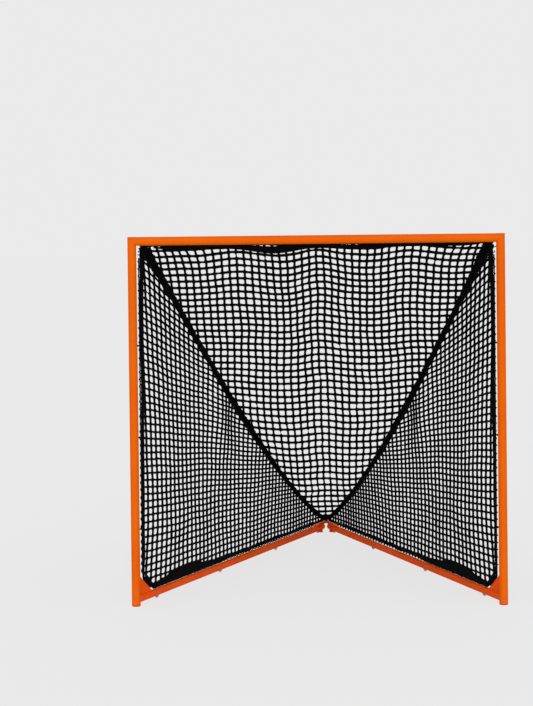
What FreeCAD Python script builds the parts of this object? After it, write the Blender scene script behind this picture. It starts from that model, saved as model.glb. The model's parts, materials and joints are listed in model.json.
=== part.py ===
import FreeCAD, Part
import math
import os

import Sketcher
from FreeCAD import Placement, Rotation, Vector

# Field goal with a square tube mouth, two ground pipes that run back to one point,
# and a netting bag of one back panel and two side panels laced to thin bars.
# Frame: +X to the right seen from the field, +Y from the mouth to the point, +Z up.
# Origin: on the floor, under the middle of the outline. Lengths are in millimetres.

# Driving dimensions. Each one is a cell of the sheet and is written only here.
SIZES = (
    # Mouth, whose height counts from the underside of the ground pipes, depth and tubes
    ("mouth_width", 1828.8),
    ("mouth_height", 1828.8),
    ("goal_depth", 2133.6),
    ("post_diameter", 44.45),
    ("crossbar_diameter", 44.45),
    ("frame_wall", 2.1),
    ("pipe_diameter", 38.1),
    ("pipe_wall", 1.8),
    ("pipe_lift", 13.5),
    ("pipe_rear_gap", 60.0),
    # Closed tube ends
    ("foot_flange", 8.0),
    ("foot_edge", 2.5),
    ("top_flange", 3.0),
    ("end_flange", 2.5),
    ("plug_length", 25.0),
    ("plug_clearance", 0.15),
    # Plates at the feet of the posts
    ("gusset_length", 128.0),
    ("gusset_height", 98.0),
    ("gusset_nose", 4.0),
    ("gusset_ledge", 9.0),
    ("gusset_thickness", 5.0),
    # Spigots that join the crossbar to the posts, and their screws
    ("spigot_length", 90.0),
    ("spigot_wall", 2.6),
    ("spigot_clearance", 0.2),
    ("spigot_screw_inset", 62.0),
    ("screw_diameter", 8.0),
    ("screw_head_diameter", 14.0),
    ("screw_head_height", 4.4),
    ("screw_head_edge", 1.6),
    ("screw_end", 2.0),
    ("insert_diameter", 14.0),
    ("insert_depth", 9.0),
    # Strap that joins the two ground pipes behind, and its feet
    ("yoke_width", 42.0),
    ("yoke_thickness", 5.5),
    ("yoke_overlap", 92.0),
    ("yoke_bolt_edge", 26.0),
    ("yoke_bolt_spacing", 44.0),
    ("rear_foot_diameter", 28.0),
    ("rear_foot_saddle", 6.0),
    # Bolts, studs, nuts and washers of the ground pipes
    ("bolt_diameter", 8.0),
    ("bolt_head_width", 13.0),
    ("bolt_head_height", 5.3),
    ("bolt_end", 3.2),
    ("bolt_hole_clearance", 0.25),
    ("nut_width", 13.0),
    ("nut_height", 6.5),
    ("washer_diameter", 22.0),
    ("washer_thickness", 1.8),
    # Bars that carry the netting
    ("rod_diameter", 6.0),
    ("rod_gap", 10.0),
    ("post_rod_angle", 26.0),
    ("crossbar_rod_angle", 29.0),
    ("post_rod_low", 170.0),
    ("post_rod_high", 62.0),
    ("crossbar_rod_inset", 28.0),
    ("pipe_rod_start", 178.0),
    ("pipe_rod_end", 12.0),
    ("lug_diameter", 9.0),
    ("stud_collar_diameter", 12.0),
    ("stud_first", 206.0),
    ("stud_spacing", 700.0),
    # Netting
    ("net_corner_inset", 44.0),
    ("twine_thickness", 4.5),
    ("net_selvedge", 9.0),
    ("rope_diameter", 10.0),
    ("rope_gap", 0.3),
    ("front_edge_low", 72.0),
    ("front_edge_high", 50.0),
    ("net_foot_gap", 7.0),
    ("seam_top_width", 50.0),
    ("seam_rear_width", 30.0),
    ("seam_thickness", 14.0),
    ("seam_top_start", 32.0),
    ("seam_rear_stop", 64.0),
    ("seam_upper_sag", 122.0),
    ("seam_lower_sag", 104.0),
    ("seam_tuck", 1.0),
    ("rope_corner_gap", 48.0),
    ("hem_thickness", 8.0),
    ("hem_gap", 3.0),
    ("crossbar_hem_height", 12.0),
    ("ground_hem_height", 18.0),
    ("ground_hem_length", 930.0),
    ("foot_band_width", 34.0),
    ("lace_diameter", 4.0),
    ("lace_clearance", 0.8),
    ("lace_slack", 4.5),
    ("corner_tie_diameter", 13.0),
    ("apex_knot_base", 40.0),
    ("apex_knot_top", 30.0),
    ("apex_knot_height", 44.0),
)

# Counts of what repeats
STUDS_PER_PIPE = 3
CELLS_PER_STUD_SPACING = 6
BACK_COLUMNS = 24
BACK_ROWS = (3, 8, 12)
SIDE_ROWS = 19
CELLS_PER_LUG = 5
FOLD_ALLOWANCE = 1.0
LACE_SIDES = 6
SMALLEST_GAP = 220.0

# Where the sagging seams bend, as shares of the way back along the ground pipe
LOWER_BEND = 0.86
UPPER_BEND = 0.51

SIDES = (("left", -1.0), ("right", 1.0))
UP = Vector(0, 0, 1)
ACROSS = Vector(1, 0, 0)
BACK = Vector(0, 1, 0)

doc = FreeCAD.newDocument("goal")
sheet = doc.addObject("Spreadsheet::Sheet", "Sizes")
for row, (alias, value) in enumerate(SIZES, start=1):
    sheet.set("A%d" % row, alias.replace("_", " "))
    sheet.set("B%d" % row, str(value))
    sheet.setAlias("B%d" % row, alias)
doc.recompute()

parts = []


def size(alias):
    """Return one driving dimension from the sheet, in millimetres or degrees."""
    return float(sheet.get(alias))


def reckon(rule):
    """Work out a rule of sheet names as a number."""
    return float(sheet.evalExpression(rule))


def keep(obj, node):
    """Name an object as a finished sub-part and return it."""
    obj.Label = node
    parts.append(obj)
    return obj


def bind(obj, prop, rule):
    """Tie a property to the sheet when the rule is text, or set it to a number."""
    if isinstance(rule, str):
        obj.setExpression(prop, rule)
    else:
        setattr(obj, prop, rule)


def facing(direction):
    """Return the turn that lays the Z axis along a direction."""
    return Rotation(UP, direction)


def frame_of(base, across, upward):
    """Return the place whose X and Y axes are the two given directions."""
    return Placement(base, Rotation(across, upward, across.cross(upward), "XYZ"))


def rod_along(name, radius, length, start, direction):
    """Make a plain cylinder from a start point along a direction."""
    obj = doc.addObject("Part::Cylinder", name)
    bind(obj, "Radius", radius)
    bind(obj, "Height", length)
    obj.Placement = Placement(start, facing(direction))
    return obj


def hexagon_along(name, width, length, start, direction):
    """Make a hexagonal bar of a width across its flats."""
    obj = doc.addObject("Part::Prism", name)
    obj.Polygon = 6
    obj.setExpression("Circumradius", width + " / sqrt(3)")
    bind(obj, "Height", length)
    obj.Placement = Placement(start, facing(direction))
    return obj


def cut(name, base, tool):
    """Cut one object by another."""
    obj = doc.addObject("Part::Cut", name)
    obj.Base = base
    obj.Tool = tool
    return obj


def fuse(name, shapes):
    """Join touching objects into one solid."""
    obj = doc.addObject("Part::MultiFuse", name)
    obj.Shapes = shapes
    obj.Refine = True
    return obj


def group(name, links):
    """Hold separate equal solids in one object."""
    obj = doc.addObject("Part::Compound", name)
    obj.Links = links
    return obj


def solid_from(name, shape, place=None):
    """Hold a shape that was made directly."""
    obj = doc.addObject("Part::Feature", name)
    obj.Shape = shape
    if place is not None:
        obj.Placement = place
    return obj


def origin_plane(body, role):
    """Return one of a body's own origin planes."""
    return next(item for item in body.Origin.OriginFeatures if item.Role == role)


def tube_body(name, radius, wall, length, start, direction):
    """Pad a ring sketch into a tube that runs from start along direction."""
    body = doc.addObject("PartDesign::Body", name)
    ring = body.newObject("Sketcher::SketchObject", name + "_ring")
    ring.AttachmentSupport = [(origin_plane(body, "XY_Plane"), "")]
    ring.MapMode = "FlatFace"
    for number, rule in enumerate((radius, "%s - %s" % (radius, wall))):
        ring.addGeometry(Part.Circle(Vector(0, 0, 0), UP, reckon(rule)), False)
        ring.addConstraint(Sketcher.Constraint("Coincident", number, 3, -1, 1))
        fixed = ring.addConstraint(Sketcher.Constraint("Radius", number, reckon(rule)))
        ring.setExpression("Constraints[%d]" % fixed, rule)
    pad = body.newObject("PartDesign::Pad", name + "_pad")
    pad.Profile = ring
    bind(pad, "Length", length)
    body.Tip = pad
    body.Placement = Placement(start, facing(direction))
    return body


def plate_body(name, corners, thickness, place):
    """Pad a polygon, whose corners are pairs of rules, evenly to both sides."""
    body = doc.addObject("PartDesign::Body", name)
    outline = body.newObject("Sketcher::SketchObject", name + "_outline")
    outline.AttachmentSupport = [(origin_plane(body, "XY_Plane"), "")]
    outline.MapMode = "FlatFace"
    count = len(corners)
    spots = [Vector(reckon(across), reckon(upward), 0) for across, upward in corners]
    for number in range(count):
        outline.addGeometry(Part.LineSegment(spots[number], spots[(number + 1) % count]), False)
    for number in range(count):
        outline.addConstraint(
            Sketcher.Constraint("Coincident", number, 2, (number + 1) % count, 1))
    for number, rules in enumerate(corners):
        for kind, rule in (("DistanceX", rules[0]), ("DistanceY", rules[1])):
            fixed = outline.addConstraint(
                Sketcher.Constraint(kind, -1, 1, number, 1, reckon(rule)))
            if rule != "0":
                outline.setExpression("Constraints[%d]" % fixed, rule)
    pad = body.newObject("PartDesign::Pad", name + "_pad")
    pad.Profile = outline
    bind(pad, "Length", thickness)
    pad.Midplane = True
    body.Tip = pad
    body.Placement = place
    return body


# Rules and working positions, all from the sheet
POST_RADIUS = "Sizes.post_diameter / 2"
CROSSBAR_RADIUS = "Sizes.crossbar_diameter / 2"
PIPE_RADIUS = "Sizes.pipe_diameter / 2"
POST_LENGTH = ("Sizes.pipe_lift + Sizes.mouth_height + Sizes.crossbar_diameter"
               " - Sizes.foot_flange - Sizes.top_flange")
CROSSBAR_SPAN = "Sizes.mouth_width + Sizes.post_diameter"
SCREW_HOLE = "Sizes.screw_diameter / 2 + Sizes.bolt_hole_clearance"
BOLT_HOLE = "Sizes.bolt_diameter / 2 + Sizes.bolt_hole_clearance"

post_radius = size("post_diameter") / 2
crossbar_radius = size("crossbar_diameter") / 2
pipe_radius = size("pipe_diameter") / 2
rod_radius = size("rod_diameter") / 2
rope_radius = size("rope_diameter") / 2
lace_radius = size("lace_diameter") / 2
half_twine = size("twine_thickness") / 2
half_span = size("mouth_width") / 2 + post_radius
crossbar_z = size("pipe_lift") + size("mouth_height") + crossbar_radius
post_top = crossbar_z + crossbar_radius
pipe_z = size("pipe_lift") + pipe_radius
pipe_top = pipe_z + pipe_radius
full_run = math.hypot(half_span, size("goal_depth"))
pipe_run = full_run - size("pipe_rear_gap")
front_reach = max(post_radius, crossbar_radius)
outline_depth = front_reach + size("goal_depth") + size("yoke_width") / 2
post_y = front_reach - outline_depth / 2
apex = Vector(0, post_y + size("goal_depth"), 0)


def foot(side):
    """Return the point on the floor under the axis of a post."""
    return Vector(side * half_span, post_y, 0)


def along(side):
    """Return the level direction from a post to the point behind."""
    return Vector(-side * half_span, size("goal_depth"), 0).normalize()


def inward(side):
    """Return the level direction square to a ground pipe, into the goal."""
    return Vector(-side * size("goal_depth"), -half_span, 0).normalize()


def beside(side, run, rise):
    """Return a point in the upright plane of a post and its ground pipe."""
    return foot(side) + along(side) * run + UP * rise


def upright(side, rise):
    """Return the place whose X runs back along a ground pipe and whose Y points up."""
    return frame_of(beside(side, 0, rise), along(side), UP)


# Front frame: posts, crossbar and the spigots between them
post_cores = {}
pipe_cores = {}
for label, side in SIDES:
    start = foot(side) + UP * size("foot_flange")
    keep(tube_body(label + "_post_tube", POST_RADIUS, "Sizes.frame_wall", POST_LENGTH, start, UP),
         label + "_post")
    post_cores[label] = rod_along(label + "_post_core", POST_RADIUS, post_top, foot(side), UP)

crossbar_start = Vector(-half_span, post_y, crossbar_z)
crossbar_core = rod_along(
    "crossbar_core", CROSSBAR_RADIUS, CROSSBAR_SPAN, crossbar_start, ACROSS)
crossbar_tube = tube_body(
    "crossbar_tube", CROSSBAR_RADIUS, "Sizes.frame_wall", CROSSBAR_SPAN, crossbar_start, ACROSS)


def screw_axis(side):
    """Return the place of a spigot screw on the axis of the crossbar."""
    return Vector(side * (half_span - size("spigot_screw_inset")), post_y, crossbar_z)


crossbar_holes = [
    rod_along(label + "_crossbar_hole", SCREW_HOLE, "Sizes.crossbar_diameter",
              screw_axis(side), BACK)
    for label, side in SIDES]
keep(cut("crossbar_coped", crossbar_tube,
         group("crossbar_tools", [post_cores["left"], post_cores["right"]] + crossbar_holes)),
     "crossbar")

SPIGOT_RADIUS = "Sizes.crossbar_diameter / 2 - Sizes.frame_wall - Sizes.spigot_clearance"
SPIGOT_BORE = SPIGOT_RADIUS + " - Sizes.spigot_wall"
for label, side in SIDES:
    start = Vector(side * half_span, post_y, crossbar_z)
    tube = tube_body(label + "_spigot_tube", SPIGOT_RADIUS, "Sizes.spigot_wall",
                     "Sizes.spigot_length + Sizes.post_diameter / 2", start, ACROSS * -side)
    hole = rod_along(label + "_spigot_hole", SCREW_HOLE, CROSSBAR_RADIUS, screw_axis(side), BACK)
    keep(cut(label + "_spigot", tube, group(label + "_spigot_tools", [post_cores[label], hole])),
         label + "_crossbar_spigot")


# Spigot screws, each held by a threaded insert inside its spigot
def spigot_screw(name, side):
    """Make a screw whose head sits on the back of the crossbar."""
    seat = screw_axis(side) + BACK * crossbar_radius
    head = rod_along(name + "_head", "Sizes.screw_head_diameter / 2", "Sizes.screw_head_height",
                     seat, BACK)
    doc.recompute()
    edge = doc.addObject("Part::Chamfer", name + "_edge")
    edge.Base = head
    edge.Edges = [(3, size("screw_head_edge"), size("screw_head_edge"))]
    grip = crossbar_radius - reckon(SPIGOT_BORE) + size("insert_depth") + size("screw_end")
    shank = rod_along(name + "_shank", "Sizes.screw_diameter / 2", grip, seat, BACK * -1)
    return fuse(name, [edge, shank])


def spigot_insert(name, side):
    """Make a threaded insert that sits against the bore of a spigot."""
    axis = screw_axis(side)
    seat = reckon(SPIGOT_BORE) - size("insert_depth")
    blank = rod_along(name + "_blank", "Sizes.insert_diameter / 2", "Sizes.insert_depth",
                      axis + BACK * seat, BACK)
    bore = rod_along(name + "_bore", SPIGOT_BORE, "Sizes.insert_diameter * 2",
                     axis - ACROSS * size("insert_diameter"), ACROSS)
    shaped = doc.addObject("Part::Common", name + "_shaped")
    shaped.Base = blank
    shaped.Tool = bore
    thread = rod_along(name + "_thread", "Sizes.screw_diameter / 2", "Sizes.crossbar_diameter",
                       axis, BACK)
    return cut(name, shaped, thread)


keep(group("spigot_screws", [spigot_screw(label + "_spigot_screw", side)
                             for label, side in SIDES]), "crossbar_screws")
keep(group("spigot_inserts", [spigot_insert(label + "_spigot_insert", side)
                              for label, side in SIDES]), "crossbar_inserts")


# Ground pipes, coped to the posts and drilled through for studs and bolts
def stud_runs():
    """Return how far along a ground pipe each bar stud stands."""
    return [size("stud_first") + size("stud_spacing") * number
            for number in range(STUDS_PER_PIPE)]


def yoke_bolt_runs():
    """Return how far along a ground pipe each yoke bolt stands, the rearmost first."""
    last = pipe_run - size("yoke_bolt_edge")
    return [last, last - size("yoke_bolt_spacing")]


for label, side in SIDES:
    start = beside(side, 0, pipe_z)
    tube = tube_body(label + "_pipe_tube", PIPE_RADIUS, "Sizes.pipe_wall", pipe_run, start,
                     along(side))
    pipe_cores[label] = rod_along(label + "_pipe_core", PIPE_RADIUS, full_run, start, along(side))
    holes = [
        rod_along("%s_pipe_hole_%d" % (label, number), BOLT_HOLE, "Sizes.pipe_diameter",
                  beside(side, run, size("pipe_lift")), UP)
        for number, run in enumerate(stud_runs() + yoke_bolt_runs())]
    keep(cut(label + "_pipe", tube, group(label + "_pipe_tools", [post_cores[label]] + holes)),
         label + "_ground_pipe")


# Tube ends: foot caps, top caps and rear plugs
def stopper(name, radius, bore, flange, start, direction, edge):
    """Make a push-in cap: a flange as wide as the tube and a plug in its bore."""
    disc = rod_along(name + "_flange", radius, flange, start, direction)
    if edge:
        doc.recompute()
        rounded = doc.addObject("Part::Chamfer", name + "_rounded")
        rounded.Base = disc
        rounded.Edges = [(2, size(edge), size(edge))]
        disc = rounded
    plug = rod_along(name + "_plug", bore, "Sizes.plug_length",
                     start + direction * reckon(flange), direction)
    return keep(fuse(name + "_joined", [disc, plug]), name)


POST_BORE = POST_RADIUS + " - Sizes.frame_wall - Sizes.plug_clearance"
PIPE_BORE = PIPE_RADIUS + " - Sizes.pipe_wall - Sizes.plug_clearance"
for label, side in SIDES:
    stopper(label + "_foot_cap", POST_RADIUS, POST_BORE, "Sizes.foot_flange",
            foot(side), UP, "foot_edge")
    stopper(label + "_top_cap", POST_RADIUS, POST_BORE, "Sizes.top_flange",
            foot(side) + UP * post_top, UP * -1, None)

PLUG_LENGTH = "min(Sizes.plug_length; Sizes.yoke_bolt_edge - Sizes.bolt_diameter)"
for label, side in SIDES:
    start = beside(side, pipe_run + size("end_flange"), pipe_z)
    ahead = along(side) * -1
    disc = rod_along(label + "_plug_flange", PIPE_RADIUS, "Sizes.end_flange", start, ahead)
    stem = rod_along(label + "_plug_stem", PIPE_BORE, PLUG_LENGTH,
                     start + ahead * size("end_flange"), ahead)
    keep(fuse(label + "_plug_joined", [disc, stem]), label + "_pipe_plug")

# Gussets in the upright plane of each post and pipe, seated on both tubes
GUSSET_REACH = "Sizes.post_diameter / 2 + Sizes.gusset_length"
GUSSET_TOP = "Sizes.pipe_diameter / 2 + Sizes.gusset_height"
GUSSET_CORNERS = (
    ("0", "0"),
    (GUSSET_REACH, "0"),
    (GUSSET_REACH, "Sizes.pipe_diameter / 2 + Sizes.gusset_nose"),
    ("Sizes.post_diameter / 2 + Sizes.gusset_ledge", GUSSET_TOP),
    ("0", GUSSET_TOP),
)
for label, side in SIDES:
    plate = plate_body(label + "_gusset_plate", GUSSET_CORNERS, "Sizes.gusset_thickness",
                       upright(side, pipe_z))
    keep(cut(label + "_gusset", plate,
             group(label + "_gusset_tools", [post_cores[label], pipe_cores[label]])),
         label + "_foot_gusset")

# Yoke: a bent strap on top of both pipes behind, with a rounded point
yoke_reach = size("pipe_rear_gap") + size("yoke_overlap")
yoke_blanks = [rod_along("yoke_point", "Sizes.yoke_width / 2", "Sizes.yoke_thickness",
                         apex + UP * pipe_top, UP)]
yoke_holes = []
for label, side in SIDES:
    ahead = along(side) * -1
    sideways = UP.cross(ahead)
    leg = doc.addObject("Part::Box", label + "_yoke_leg")
    bind(leg, "Length", "Sizes.pipe_rear_gap + Sizes.yoke_overlap")
    bind(leg, "Width", "Sizes.yoke_width")
    bind(leg, "Height", "Sizes.yoke_thickness")
    leg.Placement = frame_of(apex + UP * pipe_top - sideways * (size("yoke_width") / 2),
                             ahead, sideways)
    yoke_blanks.append(leg)
    yoke_blanks.append(rod_along(label + "_yoke_end", "Sizes.yoke_width / 2",
                                 "Sizes.yoke_thickness",
                                 apex + ahead * yoke_reach + UP * pipe_top, UP))
    for number, run in enumerate(yoke_bolt_runs()):
        yoke_holes.append(rod_along("%s_yoke_hole_%d" % (label, number), BOLT_HOLE,
                                    "Sizes.yoke_thickness", beside(side, run, pipe_top), UP))
keep(cut("yoke", fuse("yoke_plate", yoke_blanks), group("yoke_holes", yoke_holes)), "rear_yoke")

# Yoke bolts: the rearmost of each pair stands in a moulded foot
nut_reach = size("washer_thickness") + size("nut_height") + size("bolt_end")
yoke_bolts = []
bolt_shanks = {}
for label, side in SIDES:
    for number, run in enumerate(yoke_bolt_runs()):
        name = "%s_yoke_bolt_%d" % (label, number)
        head = hexagon_along(name + "_head", "Sizes.bolt_head_width", "Sizes.bolt_head_height",
                             beside(side, run, pipe_top + size("yoke_thickness")), UP)
        low = beside(side, run, size("pipe_lift") - nut_reach)
        shank = rod_along(name + "_shank", "Sizes.bolt_diameter / 2",
                          pipe_top + size("yoke_thickness") - low.z, low, UP)
        bolt_shanks[label, number] = shank
        yoke_bolts.append(fuse(name, [head, shank]))
keep(group("yoke_bolt_set", yoke_bolts), "yoke_bolts")

rear_feet = []
for label, side in SIDES:
    pad = rod_along(label + "_rear_pad", "Sizes.rear_foot_diameter / 2",
                    "Sizes.pipe_lift + Sizes.rear_foot_saddle",
                    beside(side, yoke_bolt_runs()[0], 0), UP)
    rear_feet.append(cut(label + "_rear_foot", pad,
                         group(label + "_foot_tools",
                               [pipe_cores[label], bolt_shanks[label, 0]])))
keep(group("rear_foot_pair", rear_feet), "rear_feet")


# Nuts and washers under the ground pipes
def ring_under(name, blank, side, run):
    """Cut the thread or clearance of a bolt through a nut or a washer."""
    bore = rod_along(name + "_bore", "Sizes.bolt_diameter / 2", "Sizes.pipe_lift",
                     beside(side, run, 0), UP)
    return cut(name, blank, bore)


nuts = []
washers = []
for label, side in SIDES:
    for number, run in enumerate(stud_runs() + yoke_bolt_runs()[1:]):
        level = size("pipe_lift") - size("washer_thickness")
        name = "%s_washer_%d" % (label, number)
        disc = rod_along(name + "_disc", "Sizes.washer_diameter / 2", "Sizes.washer_thickness",
                         beside(side, run, level), UP)
        washers.append(ring_under(name, disc, side, run))
        name = "%s_nut_%d" % (label, number)
        blank = hexagon_along(name + "_blank", "Sizes.nut_width", "Sizes.nut_height",
                              beside(side, run, level - size("nut_height")), UP)
        nuts.append(ring_under(name, blank, side, run))
keep(group("washer_set", washers), "pipe_washers")
keep(group("nut_set", nuts), "pipe_nuts")

# Netting planes: both hold the bar lines, so that bar, rope and panel line up
post_rod_turn = math.radians(size("post_rod_angle"))
crossbar_rod_turn = math.radians(size("crossbar_rod_angle"))
post_rod_reach = post_radius + size("rod_gap") + rod_radius
crossbar_rod_reach = crossbar_radius + size("rod_gap") + rod_radius
pipe_rod_z = pipe_top + size("rod_gap") + rod_radius
crossbar_lift = Vector(0, math.cos(crossbar_rod_turn), -math.sin(crossbar_rod_turn))
crossbar_rod_axis = Vector(0, post_y, crossbar_z) + crossbar_lift * crossbar_rod_reach
rope_step = rod_radius + size("rope_gap") + rope_radius
lace_step = rope_radius + size("net_selvedge") + lace_radius + size("lace_slack")
net_tip = Vector(0, apex.y, pipe_rod_z)


def post_lift(side):
    """Return the level direction from a post's axis to its netting bar."""
    return Vector(-side * math.cos(post_rod_turn), math.sin(post_rod_turn), 0)


def net_corner(side):
    """Return where the back panel, a side panel and the crossbar's bar line meet."""
    return Vector(side * (half_span - size("net_corner_inset")), crossbar_rod_axis.y,
                  crossbar_rod_axis.z)


corner_reach = net_corner(1.0).x


def side_place(side):
    """Return the place whose X runs back over a ground pipe and whose Y climbs the net."""
    base = beside(side, 0, pipe_rod_z)
    climb = net_corner(side) - base
    climb = (climb - along(side) * climb.dot(along(side))).normalize()
    return frame_of(base, along(side), climb)


corner_in_plane = side_place(1.0).inverse().multVec(net_corner(1.0))
corner_run = corner_in_plane.x
corner_rise = corner_in_plane.y
lean = side_place(1.0).Rotation.multVec(BACK).z


def in_side(side, run, rise, out=0.0):
    """Return a point of a side panel's plane, or off it on the inner side."""
    return side_place(side).multVec(Vector(run, rise, 0)) + inward(side) * out


def front_run(rise):
    """Return how far behind the post the front rope runs at a height in the panel."""
    low, high = size("front_edge_low"), size("front_edge_high")
    return low + (high - low) * rise / corner_rise


# Netting bars with their lugs and studs
def netting_rod(label, start, run, length, lift, tube_core, marks):
    """Make a straight netting bar and the welded lugs that carry it."""
    rod = keep(rod_along(label + "_bar", "Sizes.rod_diameter / 2", length, start, run),
               label + "_lacing_bar")
    lugs = []
    for number, mark in enumerate(marks):
        lugs.append(rod_along("%s_lug_%d" % (label, number), "Sizes.lug_diameter / 2",
                              size("rod_gap") + rod_radius + pipe_radius / 2,
                              start + run * mark, lift * -1))
    keep(cut(label + "_lugs", group(label + "_lug_blanks", lugs),
             group(label + "_lug_tools", [tube_core, rod])), label + "_bar_lugs")


# Grids of the panels: cells are counted from a line where a lace crosses the bar
back_pitch = 2 * corner_reach / BACK_COLUMNS
side_pitch = size("stud_spacing") / CELLS_PER_STUD_SPACING
side_origin = size("stud_first") - side_pitch / 2
side_row = corner_rise / SIDE_ROWS


# Sag: each seam drops below the straight line from its corner to the tip and bends twice,
# on upright lines of the side panels' grid, and the back panel folds level from bend to bend
def bend(share, sag):
    """Return where a seam bends in a side panel, near a share of the way back."""
    run = side_origin + side_pitch * round((share * full_run - side_origin) / side_pitch)
    straight = corner_rise * (full_run - run) / (full_run - corner_run)
    return run, straight - sag / lean


seam_line = (
    (full_run, 0.0),
    bend(LOWER_BEND, size("seam_lower_sag")),
    bend(UPPER_BEND, size("seam_upper_sag")),
    (corner_run, corner_rise),
)
FLIGHTS = range(len(seam_line) - 1)


def seam_spot(side, number):
    """Return a bend or an end of a seam, counted from the tip upwards."""
    return in_side(side, *seam_line[number])


back_places = []
back_lengths = []
for number in FLIGHTS:
    low, high = seam_spot(1.0, number), seam_spot(1.0, number + 1)
    climb = Vector(0, high.y - low.y, high.z - low.z)
    back_lengths.append(climb.Length)
    back_places.append(frame_of(Vector(0, low.y, low.z), ACROSS, climb.normalize()))
back_place = back_places[-1]
top_length = back_lengths[-1]
slope_up = back_place.Rotation.multVec(BACK)


def marks_between(origin, pitch, low, high):
    """Return the grid lines that lie between two places."""
    first = math.ceil((low - origin) / pitch)
    last = math.floor((high - origin) / pitch)
    return [origin + pitch * number for number in range(first, last + 1)]


crossbar_rod_half = half_span - post_radius - size("crossbar_rod_inset")
crossbar_lines = marks_between(0, back_pitch, -corner_reach + size("rope_corner_gap"),
                               corner_reach - size("rope_corner_gap"))
lug_marks = [crossbar_rod_half + line + back_pitch / 2
             for line in crossbar_lines[1:-1:CELLS_PER_LUG]]
netting_rod("crossbar", crossbar_rod_axis - ACROSS * crossbar_rod_half, ACROSS,
            2 * crossbar_rod_half, crossbar_lift, crossbar_core, lug_marks)

gusset_head = Vector(post_radius + size("gusset_ledge"),
                     (pipe_top + size("gusset_height") - pipe_rod_z) / lean, 0)
gusset_foot = Vector(post_radius + size("gusset_length"),
                     (pipe_top + size("gusset_nose") - pipe_rod_z) / lean, 0)
foot_slope = (gusset_foot - gusset_head).normalize()
foot_normal = Vector(-foot_slope.y, foot_slope.x, 0)
foot_base = gusset_head + foot_normal * size("net_foot_gap")


def foot_rise(run):
    """Return the height in the panel of its slanted foot edge at a distance back."""
    return foot_base.y + (run - foot_base.x) * foot_slope.y / foot_slope.x


def foot_run(rise):
    """Return the distance back of the panel's foot edge at a height in the panel."""
    return foot_base.x + (rise - foot_base.y) * foot_slope.x / foot_slope.y


rope_low = foot_rise(size("front_edge_low")) + rope_radius
rope_high = corner_rise - size("rope_corner_gap")
post_rod_first = size("post_rod_low")
post_rod_last = size("pipe_lift") + size("mouth_height") - size("post_rod_high")
band_clear = size("foot_band_width") / foot_normal.y
post_lines = marks_between(0, side_row, rope_low + band_clear, rope_high)
pipe_rod_first = size("pipe_rod_start")
pipe_rod_last = pipe_run - size("yoke_overlap") - size("yoke_width") / 2 - size("pipe_rod_end")
pipe_lines = marks_between(side_origin, side_pitch, pipe_rod_first, pipe_rod_last)

for label, side in SIDES:
    lift = post_lift(side)
    post_marks = [pipe_rod_z + (line + side_row / 2) * lean - post_rod_first
                  for line in post_lines[1:-1:CELLS_PER_LUG]]
    netting_rod(label + "_post", foot(side) + lift * post_rod_reach + UP * post_rod_first, UP,
                post_rod_last - post_rod_first, lift, post_cores[label], post_marks)
    rod = keep(rod_along(label + "_pipe_bar", "Sizes.rod_diameter / 2",
                         pipe_rod_last - pipe_rod_first,
                         beside(side, pipe_rod_first, pipe_rod_z), along(side)),
               label + "_pipe_lacing_bar")
    studs = []
    for number, run in enumerate(stud_runs()):
        name = "%s_stud_%d" % (label, number)
        collar = rod_along(name + "_collar", "Sizes.stud_collar_diameter / 2",
                           pipe_rod_z - pipe_z, beside(side, run, pipe_z), UP)
        seated = cut(name + "_seated", collar, group(name + "_seats", [pipe_cores[label], rod]))
        low = size("pipe_lift") - nut_reach
        shank = rod_along(name + "_shank", "Sizes.bolt_diameter / 2",
                          pipe_top - low + 0.5 * size("rod_gap"), beside(side, run, low), UP)
        studs.append(fuse(name, [seated, shank]))
    keep(group(label + "_stud_set", studs), label + "_pipe_bar_studs")


# Panels: each is one face with a gap for every cell, given the twine's thickness
def half_plane(first, second, margin_first, margin_second):
    """Return a straight edge, moved inward by a margin at each of its two ends."""
    step = (second[0] - first[0], second[1] - first[1])
    length = math.hypot(*step)
    inner = (-step[1] / length, step[0] / length)
    return ((first[0] + inner[0] * margin_first, first[1] + inner[1] * margin_first),
            (second[0] + inner[0] * margin_second, second[1] + inner[1] * margin_second))


def clip(polygon, edge):
    """Keep the part of a convex polygon to the left of a straight edge."""
    (ax, ay), (bx, by) = edge

    def over(point):
        return (bx - ax) * (point[1] - ay) - (by - ay) * (point[0] - ax)

    kept = []
    for number, point in enumerate(polygon):
        after = polygon[(number + 1) % len(polygon)]
        here, there = over(point), over(after)
        if here >= 0:
            kept.append(point)
        if here * there < 0:
            share = here / (here - there)
            kept.append((point[0] + share * (after[0] - point[0]),
                         point[1] + share * (after[1] - point[1])))
    return kept


def area(polygon):
    """Return the area of a polygon."""
    total = 0.0
    for number, point in enumerate(polygon):
        after = polygon[(number + 1) % len(polygon)]
        total += point[0] * after[1] - after[0] * point[1]
    return total / 2


def bounded(edges, extra, start):
    """Cut a starting polygon by every edge, each moved inward by an extra margin."""
    polygon = start
    for first, second, margin_first, margin_second in edges:
        if len(polygon) < 3:
            return []
        polygon = clip(polygon, half_plane(first, second, margin_first + extra,
                                           margin_second + extra))
    return polygon


def ring_of(polygon, level):
    """Return a closed wire through the corners of a polygon, without repeated corners."""
    points = []
    for point in polygon:
        spot = Vector(point[0], point[1], level)
        if not points or (spot - points[-1]).Length > 0.05:
            points.append(spot)
    if (points[0] - points[-1]).Length < 0.05:
        points.pop()
    return Part.makePolygon(points + [points[0]])


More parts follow.
